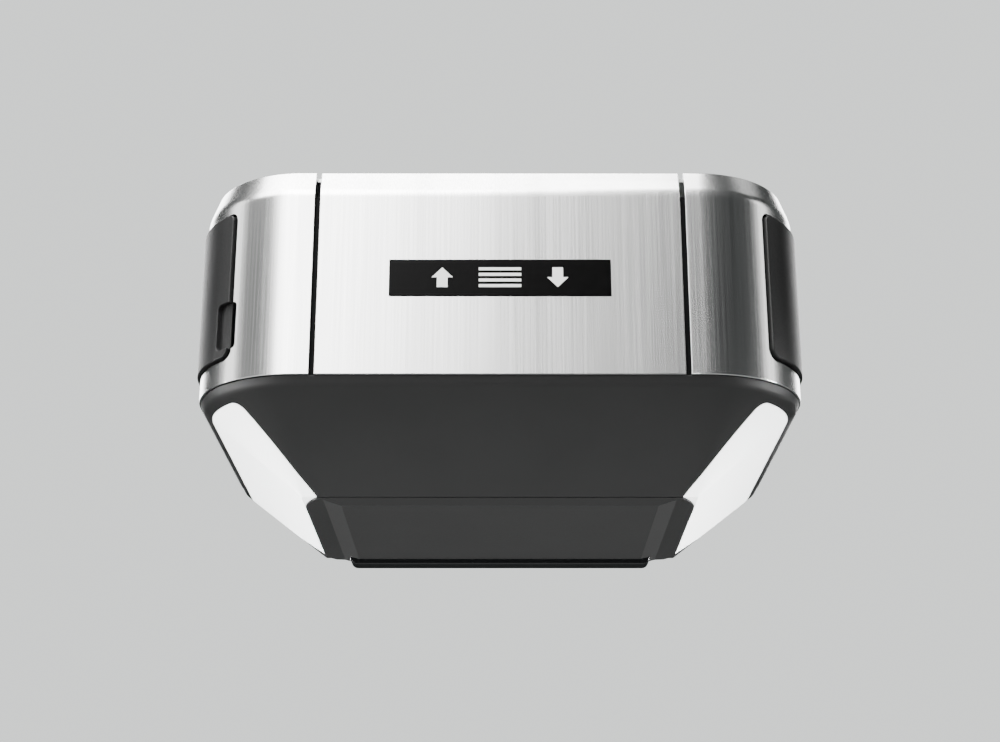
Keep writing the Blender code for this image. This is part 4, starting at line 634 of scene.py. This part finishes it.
def door_pattern(grow, outer, inner, tail, notch=None):
    """Flat pattern of a side door, or of the opening for it.

    notch says how far the finger notch reaches into the band and into the door.
    """
    start = FLAT_FRONT + FRONT_RADIUS * DOOR_ANGLE - grow
    end = SIDE_START + tail - (FRONT + FRONT_RADIUS)
    low = (start, outer, DOOR_LOW.z - grow)
    high = (end, inner, DOOR_HIGH.z + grow)
    radii = {(False, False): DOOR_BOTTOM_RADIUS + grow, (False, True): DOOR_TOP_RADIUS + grow}
    shape = plate(low, high, radii)
    if notch:
        in_band, in_door = notch
        radii = {(x, z): NOTCH_RADIUS for x in (False, True) for z in (False, True)}
        cutter = plate(
            (start + grow - in_band, outer - THROUGH, NOTCH_LOW),
            (start + grow + in_door, inner + THROUGH, NOTCH_HIGH),
            radii,
        )
        shape = carved(shape, cutter, "UNION")
    return shape


def build_front_panel():
    low = (-PANEL_EDGE, 0, BAND_BASE)
    high = (PANEL_EDGE, SKIN, BAND_TOP)
    shape = plate(low, high)
    roll_rim(shape, 0, RIM_ROLL)
    cut_lines(shape, "Z", soft_bend_lines())
    for vert in shape.verts:
        vert.co.y += FRONT + lean(vert.co.z)
    piece("front_panel_sheet", shape, "front_panel")


def build_wrap(side):
    left = side == "left"
    shape = plate((SEAM_EDGE, 0, BAND_BASE), (PATH_END, SKIN, BAND_TOP))
    notch = (NOTCH_IN_BAND + DOOR_GAP, NOTCH_IN_BAND + NOTCH_OVERLAP) if left else None
    cutter = door_pattern(DOOR_GAP, -OPENING_OUT, OPENING_IN, DOOR_OPENING_REAR, notch)
    shape = carved(shape, cutter)
    roll_rim(shape, 0, RIM_ROLL)
    piece(f"wrap_{side}_sheet", bent(shape, left), f"wrap_{side}")


def build_door(side):
    """Side door or cover with a rolled rim. The left one has the finger notch."""
    left = side == "left"
    node = "battery_door" if left else "side_cover"
    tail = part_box(node)[1].y
    shape = door_pattern(0, -DOOR_PROUD, DOOR_BACK, tail)
    if left:
        start = FLAT_FRONT + FRONT_RADIUS * DOOR_ANGLE
        radii = {(True, False): NOTCH_DOOR_RADIUS, (True, True): NOTCH_DOOR_RADIUS}
        cutter = plate(
            (start - THROUGH, -DOOR_PROUD - THROUGH, NOTCH_LOW),
            (start + NOTCH_IN_DOOR, NOTCH_FLOOR, NOTCH_HIGH),
            radii,
        )
        shape = carved(shape, cutter)
    roll_rim(shape, -DOOR_PROUD, DOOR_ROLL, 4)
    piece(f"{node}_shell", bent(shape, left, leaning=False), node)


# ---- hull and lenses -----------------------------------------------------------------------------


def hull_profile():
    """(inset, height) round the hull wall's cross-section."""
    top = BAND_BASE - FIT
    rim = BAND_BASE - HULL_RIM
    base = HULL_LOW.z
    lip = HULL_INSET + HULL_LIP
    # the rim leans in from its rounded top edge, then turns softly into the slope
    rim_face = [(0.3, top), (0.1, top - 0.3 * MM), (1.4, rim + 1.6 * MM)]
    rim_turn = [(2.1, rim + 0.4 * MM), (3.3, rim - 0.9 * MM)]
    rim_back = [(4.6, rim), (3.2, top)]
    outer = [(HULL_GAP + inset * MM, height) for inset, height in rim_face + rim_turn]
    foot = [(HULL_INSET, base), (lip, base), (lip, base + HULL_WALL), (HULL_INSET + 1 * MM, base + HULL_WALL)]
    return outer + foot + [(HULL_GAP + inset * MM, height) for inset, height in rim_back]


def hull_half():
    """The hull wall's +X half: its cross-section drawn out along the outline, then bent round it."""
    shape = bmesh.new()
    profile = shape.faces.new([shape.verts.new((0, inset, height)) for inset, height in hull_profile()])
    grown = bmesh.ops.extrude_face_region(shape, geom=[profile])
    ends = [v for v in grown["geom"] if isinstance(v, bmesh.types.BMVert)]
    bmesh.ops.translate(shape, vec=(REAR_MIDDLE, 0, 0), verts=ends)
    return bent(shape, leaning=False, rear_share=HULL_REAR_SHARE)


def both_halves(shape):
    """Opens a +X half at the middle and mirrors it to a whole."""
    middle = [f for f in shape.faces if all(abs(v.co.x) < 1e-6 for v in f.verts)]
    bmesh.ops.delete(shape, geom=middle, context="FACES")
    whole = shape.verts[:] + shape.edges[:] + shape.faces[:]
    bmesh.ops.mirror(shape, geom=whole, axis="X", merge_dist=0.01 * MM)
    bmesh.ops.remove_doubles(shape, verts=shape.verts, dist=0.002 * MM)
    bmesh.ops.recalc_face_normals(shape, faces=shape.faces)
    return shape


def drawn_out(points, along):
    """The solid that a flat outline sweeps along a vector."""
    shape = bmesh.new()
    face = shape.faces.new([shape.verts.new(point) for point in points])
    grown = bmesh.ops.extrude_face_region(shape, geom=[face])
    far = [v for v in grown["geom"] if isinstance(v, bmesh.types.BMVert)]
    bmesh.ops.translate(shape, vec=along, verts=far)
    bmesh.ops.recalc_face_normals(shape, faces=shape.faces)
    return shape


def mirrored(points):
    """The points' mirror images across the middle, in reverse order."""
    return [(-point[0], *point[1:]) for point in points[::-1]]


def tray_corner(gap):
    """Swept front corner of the tray in plan, a parabola from its front edge to its side."""
    edge = HALF_WIDTH - HULL_INSET - gap
    front = FRONT + HULL_INSET + gap
    backs = steps_between(0, 1, 12)
    return [(edge - TRAY_CORNER * (1 - back) ** 2, front + TRAY_SWEEP * back) for back in backs]


def lens_prism(shrink):
    """Upright block over the +X lens's outline, which has slanted ends with rounded tips."""
    slant = math.sqrt(0.5)
    front_centre = (FLAT_FRONT, FRONT + FRONT_RADIUS)
    rear_centre = (HALF_WIDTH - REAR_RADIUS, REAR - REAR_RADIUS)
    front_reach = (FRONT_RADIUS - LENS_EDGE - LENS_TIP_RADIUS) * slant
    rear_reach = (REAR_RADIUS - LENS_EDGE - LENS_TIP_RADIUS) * slant
    front_tip = (front_centre[0] + front_reach, front_centre[1] - front_reach)
    rear_tip = (rear_centre[0] + rear_reach, rear_centre[1] + rear_reach)
    tip = LENS_TIP_RADIUS - shrink
    inner_x = HALF_WIDTH - HULL_INSET + shrink
    front_line = front_tip[0] + front_tip[1] - LENS_WRAP + shrink / slant
    rear_line = rear_tip[1] - rear_tip[0] + LENS_WRAP - shrink / slant
    nose = tray_corner(0)
    outline = arc_points(front_centre, FRONT_RADIUS - LENS_EDGE - shrink, 0, -45, 16)[:-1]
    outline += arc_points(front_tip, tip, -45, -135, 16)
    start = Vector(outline[-1])
    end = Vector((front_line - nose[0][1], nose[0][1]))
    for share in steps_between(0, 1, 12)[1:]:
        bow = LENS_BOW * 4 * share * (1 - share) * slant
        outline.append(tuple(start.lerp(end, share) - Vector((bow, bow))))
    outline += [point for point in nose[1:] if front_line - nose[0][1] < point[0] < inner_x]
    outline += [(inner_x, nose[-1][1]), (inner_x, rear_line + inner_x)]
    outline += arc_points(rear_tip, tip, 135, 45, 16)
    outline += arc_points(rear_centre, REAR_RADIUS - LENS_EDGE - shrink, 45, 0, 8)[1:]
    base = HULL_LOW.z - 3 * MM
    return drawn_out([(x, y, base) for x, y in outline], (0, 0, HULL_HIGH.z - HULL_LOW.z + 8 * MM))


def arc_points(centre, radius, start, stop, steps):
    angles = [math.radians(a) for a in steps_between(start, stop, steps)]
    return [(centre[0] + radius * math.cos(a), centre[1] + radius * math.sin(a)) for a in angles]


def soften(made, width_mm, segments=2, angle=30):
    """A live bevel on the piece's sharp edges, ahead of its other modifiers."""
    step = made.modifiers.new("soft_edges", "BEVEL")
    step.width = width_mm * MM
    step.segments = segments
    step.limit_method = "ANGLE"
    step.angle_limit = math.radians(angle)
    step.use_clamp_overlap = True
    step.harden_normals = False
    made.modifiers.move(len(made.modifiers) - 1, 0)
    return made


def build_hull():
    shape = both_halves(carved(hull_half(), lens_prism(0)))
    soften(piece("belly_shell", shape, "belly_cover", smooth_angle=24), 0.25, 2, 28)


def build_lens(side):
    shape = carved(hull_half(), lens_prism(FIT / 2), "INTERSECT")
    if side == "left":
        bmesh.ops.scale(shape, vec=(-1, 1, 1), verts=shape.verts)
        bmesh.ops.recalc_face_normals(shape, faces=shape.faces)
    soften(piece(f"lens_{side}_diffuser", shape, f"lens_{side}", smooth_angle=24), 0.3, 2, 28)


# ---- tray ----------------------------------------------------------------------------------------


def build_tray():
    """Bottom tray: its front carries on the hull's slope, its sides step up, its rear edge has a bay."""
    top = TRAY_HIGH.z
    base = TRAY_LOW.z
    front = TRAY_LOW.y
    rear = TRAY_HIGH.y
    corner = tray_corner(CLOSE_FIT)
    edge = corner[-1][0]
    side = corner + [(edge, rear - TRAY_REAR_CORNER), (edge - TRAY_REAR_CORNER, rear)]
    low = base - THROUGH
    shape = drawn_out([(x, y, low) for x, y in side + mirrored(side)], (0, 0, top - low))
    half = [(edge + MM, top + MM), (edge + MM, top - TRAY_EDGE), (edge, top - TRAY_EDGE)]
    half += [(TRAY_STEP_X, base + TRAY_STEP_UP), (TRAY_FLAT_X, base)]
    start = front - THROUGH
    section = drawn_out([(x, start, z) for x, z in half + mirrored(half)], (0, rear - front + 2 * THROUGH, 0))
    shape = carved(shape, section, "INTERSECT")
    slope = (top - base) / TRAY_FRONT_SLOPE
    run = 2 * TRAY_FRONT_SLOPE
    nose = FRONT + HULL_INSET + CLOSE_FIT
    foot = top - run * slope
    wedge = [(nose - MM, top + slope * MM), (nose + run, foot), (nose - THROUGH, foot)]
    shape = carved(shape, drawn_out([(-HALF_WIDTH, y, z) for y, z in wedge], (2 * HALF_WIDTH, 0, 0)))
    bay_low, bay_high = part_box("sensor_window")
    bay = block(
        (bay_low.x - CLOSE_FIT, bay_low.y - CLOSE_FIT, low),
        (bay_high.x + CLOSE_FIT, rear + THROUGH, top + THROUGH),
    )
    shape = carved(shape, bay)
    # faces turned down take the lighter tray plastic as painted light, and faces turned to the front take the
    # hull's plain plastic
    for face in shape.faces:
        face.normal_update()
        face.material_index = 1 if face.normal.y < -0.3 else 0
    tray = soften(piece("bottom_tray_shell", shape, "bottom_tray", smooth_angle=5), 0.5, 3, 4)
    # the front face keeps the hull's plain plastic, without the painted light of the downward faces, so the
    # seam hardly shows
    tray.data.materials.append(HULL_PLASTIC)


# ---- badge ---------------------------------------------------------------------------------------

PICTOGRAM_HEIGHT = 11 * MM
PICTOGRAM_SPREAD = 30 * MM
PICTOGRAM_RISE = 0.1 * MM
PICTOGRAM_SINK = 0.2 * MM
BADGE_EDGE = 0.25 * MM
DOOR_BARS = 4


def build_badge():
    """Black plate with raised white pictograms: up arrow, sectional door, down arrow."""
    shape = block(BADGE_LOW, BADGE_HIGH)
    front = edges_where(shape, lambda a, b: max(a.y, b.y) < BADGE_LOW.y + 1e-5)
    bevel(shape, front, BADGE_EDGE, 2)
    plain_faces = set(shape.faces)
    middle = (BADGE_LOW + BADGE_HIGH) / 2
    half = PICTOGRAM_HEIGHT / 2
    for sign in (-1, 1):
        x = middle.x + sign * PICTOGRAM_SPREAD
        tip = (x, middle.z - sign * half)
        foot = middle.z + sign * half
        arrow = [tip, (x - half, middle.z), (x - half / 2, middle.z), (x - half / 2, foot)]
        arrow += [(x + half / 2, foot), (x + half / 2, middle.z), (x + half, middle.z)]
        raised = [(px, BADGE_LOW.y - PICTOGRAM_RISE, pz) for px, pz in arrow]
        join(shape, drawn_out(raised, (0, PICTOGRAM_RISE + PICTOGRAM_SINK, 0)))
    bar = PICTOGRAM_HEIGHT / (2 * DOOR_BARS - 1)
    for i in range(DOOR_BARS):
        low_z = middle.z - half + 2 * i * bar
        low = (middle.x - PICTOGRAM_HEIGHT, BADGE_LOW.y - PICTOGRAM_RISE, low_z)
        high = (middle.x + PICTOGRAM_HEIGHT, BADGE_LOW.y + PICTOGRAM_SINK, low_z + bar)
        join(shape, block(low, high))
    for face in shape.faces:
        face.material_index = 0 if face in plain_faces else 1
    badge = piece("badge_plate_face", shape, "badge_plate")
    badge.data.materials.append(PRINT)


# ---- the other CAD parts, with softened edges ----------------------------------------------------


UPRIGHT = Matrix.Identity(3)
FACING_REAR = Matrix.Rotation(math.radians(-90), 3, "X")
# diameter and height of each kind of head
LARGE_SCREW = (8 * MM, 2.6 * MM)
SMALL_SCREW = (6.5 * MM, 2.2 * MM)
BOLT = (8.5 * MM, 3.6 * MM)
# where the heads sit: the feet's thickness, and the distances from edges or from the middle
FOOT = 2.5 * MM
FOOT_EDGE = 8 * MM
PLATE_SCREW_X = 140 * MM
PLATE_SCREW_FRONT = FRONT + 45 * MM
PLATE_SCREW_REAR = REAR - 31 * MM
GEARBOX_SCREW_X = 26 * MM
GEARBOX_SCREW_FRONT = FRONT + 60 * MM
GEARBOX_SCREW_REAR = FRONT + 101 * MM
MOTOR_SCREW_X = (56 * MM, 92 * MM)
MOTOR_SCREW_Y = -38 * MM
BRACKET_BOLT_Y = 8 * MM
BRACKET_BOLT_IN = 2 * MM
SADDLE_BOLT_Y = 20 * MM
PANEL_SCREW_RISE = 9 * MM
PANEL_SCREW_DROP = 24 * MM


def grid(xs, ys, zs):
    return [(x, y, z) for x in xs for y in ys for z in zs]


def fixings(node):
    """(part, places, turn) of each kind of screw head on a CAD part."""
    low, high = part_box(node)
    ends = (low.x + FOOT_EDGE, high.x - FOOT_EDGE)
    if node == "chassis_plate":
        corners = grid((-PLATE_SCREW_X, PLATE_SCREW_X), (PLATE_SCREW_FRONT, PLATE_SCREW_REAR), (high.z,))
        gearbox_ys = (GEARBOX_SCREW_FRONT, GEARBOX_SCREW_REAR)
        small = grid((-GEARBOX_SCREW_X, GEARBOX_SCREW_X), gearbox_ys, (high.z,))
        small += grid(MOTOR_SCREW_X, (MOTOR_SCREW_Y,), (high.z,))
        return [(pan_head(*LARGE_SCREW), corners, UPRIGHT), (pan_head(*SMALL_SCREW), small, UPRIGHT)]
    if node in ("hanger_bracket_left", "hanger_bracket_right"):
        middle = (low + high) / 2
        x = middle.x - math.copysign(BRACKET_BOLT_IN, middle.x)
        bolts = grid((x,), (middle.y - BRACKET_BOLT_Y, middle.y + BRACKET_BOLT_Y), (low.z + FOOT,))
        return [(hex_head(*BOLT), bolts, UPRIGHT)]
    if node == "rail_saddle":
        return [(hex_head(*BOLT), grid(ends, (-SADDLE_BOLT_Y, SADDLE_BOLT_Y), (low.z + FOOT,)), UPRIGHT)]
    if node == "rear_panel":
        spots = grid(ends, (REAR,), (low.z + PANEL_SCREW_RISE, high.z - PANEL_SCREW_DROP))
        return [(pan_head(*SMALL_SCREW), spots, FACING_REAR)]
    return []


def refined(node, width_mm):
    """A copy of a CAD part with its facets rejoined, its fixings added and soft edges."""
    shape = bmesh.new()
    shape.from_mesh(frame["nodes"][node].data)
    bmesh.ops.remove_doubles(shape, verts=shape.verts, dist=0.001 * MM)
    bmesh.ops.dissolve_limit(
        shape,
        angle_limit=math.radians(0.5),
        verts=shape.verts[:],
        edges=shape.edges[:],
        use_dissolve_boundaries=False,
    )
    for fitting, places, turn in fixings(node):
        fit_at(shape, fitting, places, turn)
    made = piece(f"{node}_finish", shape, node)
    made.data.materials.append(ZINC)
    soften(made, width_mm)


# ---- studio --------------------------------------------------------------------------------------

FLOOR_DROP = 1.7
FLOOR_HALF_SIZE = 40.0
SEEN_BRIGHTNESS = 1.6
AIM = Vector((0, FRONT + 0.05, BAND_BASE))
# name: azimuth, elevation (degrees), distance, (width, height) (metres), power (watts),
# spread (degrees), how far below the usual aim it points (metres)
LIGHTS = {
    "key": (-18.5, 30, 1.7, (0.8, 1.75), 17.5, 100, 0),
    "key_edge": (3, 30, 1.7, (0.4, 1.75), 0.28, 100, 0),
    "top": (-36, 61, 1.5, (1.3, 1.2), 30, 110, 0),
    "back_left": (-152, 28, 2.0, (1.1, 1.1), 20, 120, 0),
    "back_right": (150, 22, 2.2, (1.0, 1.0), 14, 120, 0),
    "fill_left": (-54, 25, 1.7, (0.7, 1.5), 0.25, 100, 0),
    "fill_right": (98, 60, 1.5, (0.6, 0.7), 0.45, 110, 0),
    "rim_left": (-84, 14, 1.5, (0.4, 1.2), 6, 180, 0),
    "rim_right": (84, 14, 1.5, (0.3, 1.2), 4, 180, 0),
    "low_left": (-84, -4, 1.2, (0.5, 0.1), 1.3, 12, 0.08),
    "low_right": (84, -4, 1.2, (0.5, 0.1), 1.3, 12, 0.08),
    "low_front": (-55, -20, 0.75, (0.4, 0.3), 0.8, 120, 0),
}


def area_light(name, azimuth, elevation, distance, size, power, spread, aim_drop):
    """Area light on a sphere round the head. Azimuth 0 is in front, positive to the right."""
    aim = AIM - Vector((0, 0, aim_drop))
    data = bpy.data.lights.new(name, "AREA")
    data.shape = "RECTANGLE"
    data.size, data.size_y = size
    data.energy = power
    data.spread = math.radians(spread)
    lamp = bpy.data.objects.new(name, data)
    a, e = math.radians(azimuth), math.radians(elevation)
    away = Vector((math.sin(a) * math.cos(e), -math.cos(a) * math.cos(e), math.sin(e)))
    lamp.location = aim + away * distance
    lamp.rotation_euler = (-away).to_track_quat("-Z", "Y").to_euler()
    lamp.visible_camera = False
    bpy.context.scene.collection.objects.link(lamp)


def seen_and_room(tree, seen, room, output):
    """Gives the camera one surface, and light and reflections another."""
    path = add(tree, "ShaderNodeLightPath")
    mix = add(tree, "ShaderNodeMixShader", {"Fac": path.outputs["Is Camera Ray"]})
    tree.links.new(room, mix.inputs[1])
    tree.links.new(seen, mix.inputs[2])
    tree.links.new(mix.outputs["Shader"], tree.nodes[output].inputs["Surface"])


def build_studio():
    floor_shape = bmesh.new()
    bmesh.ops.create_grid(floor_shape, x_segments=2, y_segments=2, size=FLOOR_HALF_SIZE)
    bmesh.ops.translate(floor_shape, vec=(0, 0, BAND_BASE - FLOOR_DROP), verts=floor_shape.verts)
    mesh = bpy.data.meshes.new("floor")
    floor_shape.to_mesh(mesh)
    floor_shape.free()
    floor = bpy.data.objects.new("floor", mesh)
    bpy.context.scene.collection.objects.link(floor)
    paint, tree, shader = blank_material("matt_studio_paint", 0.8)
    coords = add(tree, "ShaderNodeTexCoord").outputs["Object"]
    cloud_at = add(tree, "ShaderNodeMapping", {"Vector": coords, "Scale": (3, 3, 3)})
    cloud = add(
        tree, "ShaderNodeTexNoise", {"Vector": cloud_at.outputs["Vector"], "Scale": 1.0, "Detail": 1.0}
    )
    finished(tree, shader, (cloud.outputs["Fac"], "d6d8d7", "dcdddc", *USUAL_DRIFT))
    # the camera sees an even pale floor, while light and reflections meet the paint
    even = add(tree, "ShaderNodeEmission", {"Color": linear("d9dcdb"), "Strength": SEEN_BRIGHTNESS})
    seen_and_room(tree, even.outputs["Emission"], shader.outputs["BSDF"], "Material Output")
    mesh.materials.append(paint)
    world = bpy.data.worlds.new("studio_air")
    bpy.context.scene.world = world
    world.use_nodes = True
    tree = world.node_tree
    seen = tree.nodes["Background"]
    seen.inputs["Color"].default_value = linear("dee1e0")
    seen.inputs["Strength"].default_value = SEEN_BRIGHTNESS
    # the camera sees a pale wall, while a dim room lights and reflects
    room = add(tree, "ShaderNodeBackground", {"Color": linear("2c3030"), "Strength": 1.0})
    seen_and_room(tree, seen.outputs["Background"], room.outputs["Background"], "World Output")
    for name, settings in LIGHTS.items():
        area_light(name, *settings)


# ---- the whole head ------------------------------------------------------------------------------

build_front_panel()
for side in ("left", "right"):
    build_wrap(side)
    build_door(side)
    build_lens(side)
build_hull()
build_tray()
build_badge()
REBUILT = {
    "front_panel", "wrap_left", "wrap_right", "battery_door", "side_cover",
    "lens_left", "lens_right", "belly_cover", "bottom_tray", "badge_plate",
}
SOFT_WIDTH = {"sensor_window": 0.5, "rear_panel": 0.4, "sprocket_cover": 1.0}
USUAL_SOFT_WIDTH = 0.2
for node_name in sorted(frame["nodes"]):
    if node_name not in REBUILT:
        refined(node_name, SOFT_WIDTH.get(node_name, USUAL_SOFT_WIDTH))
build_studio()
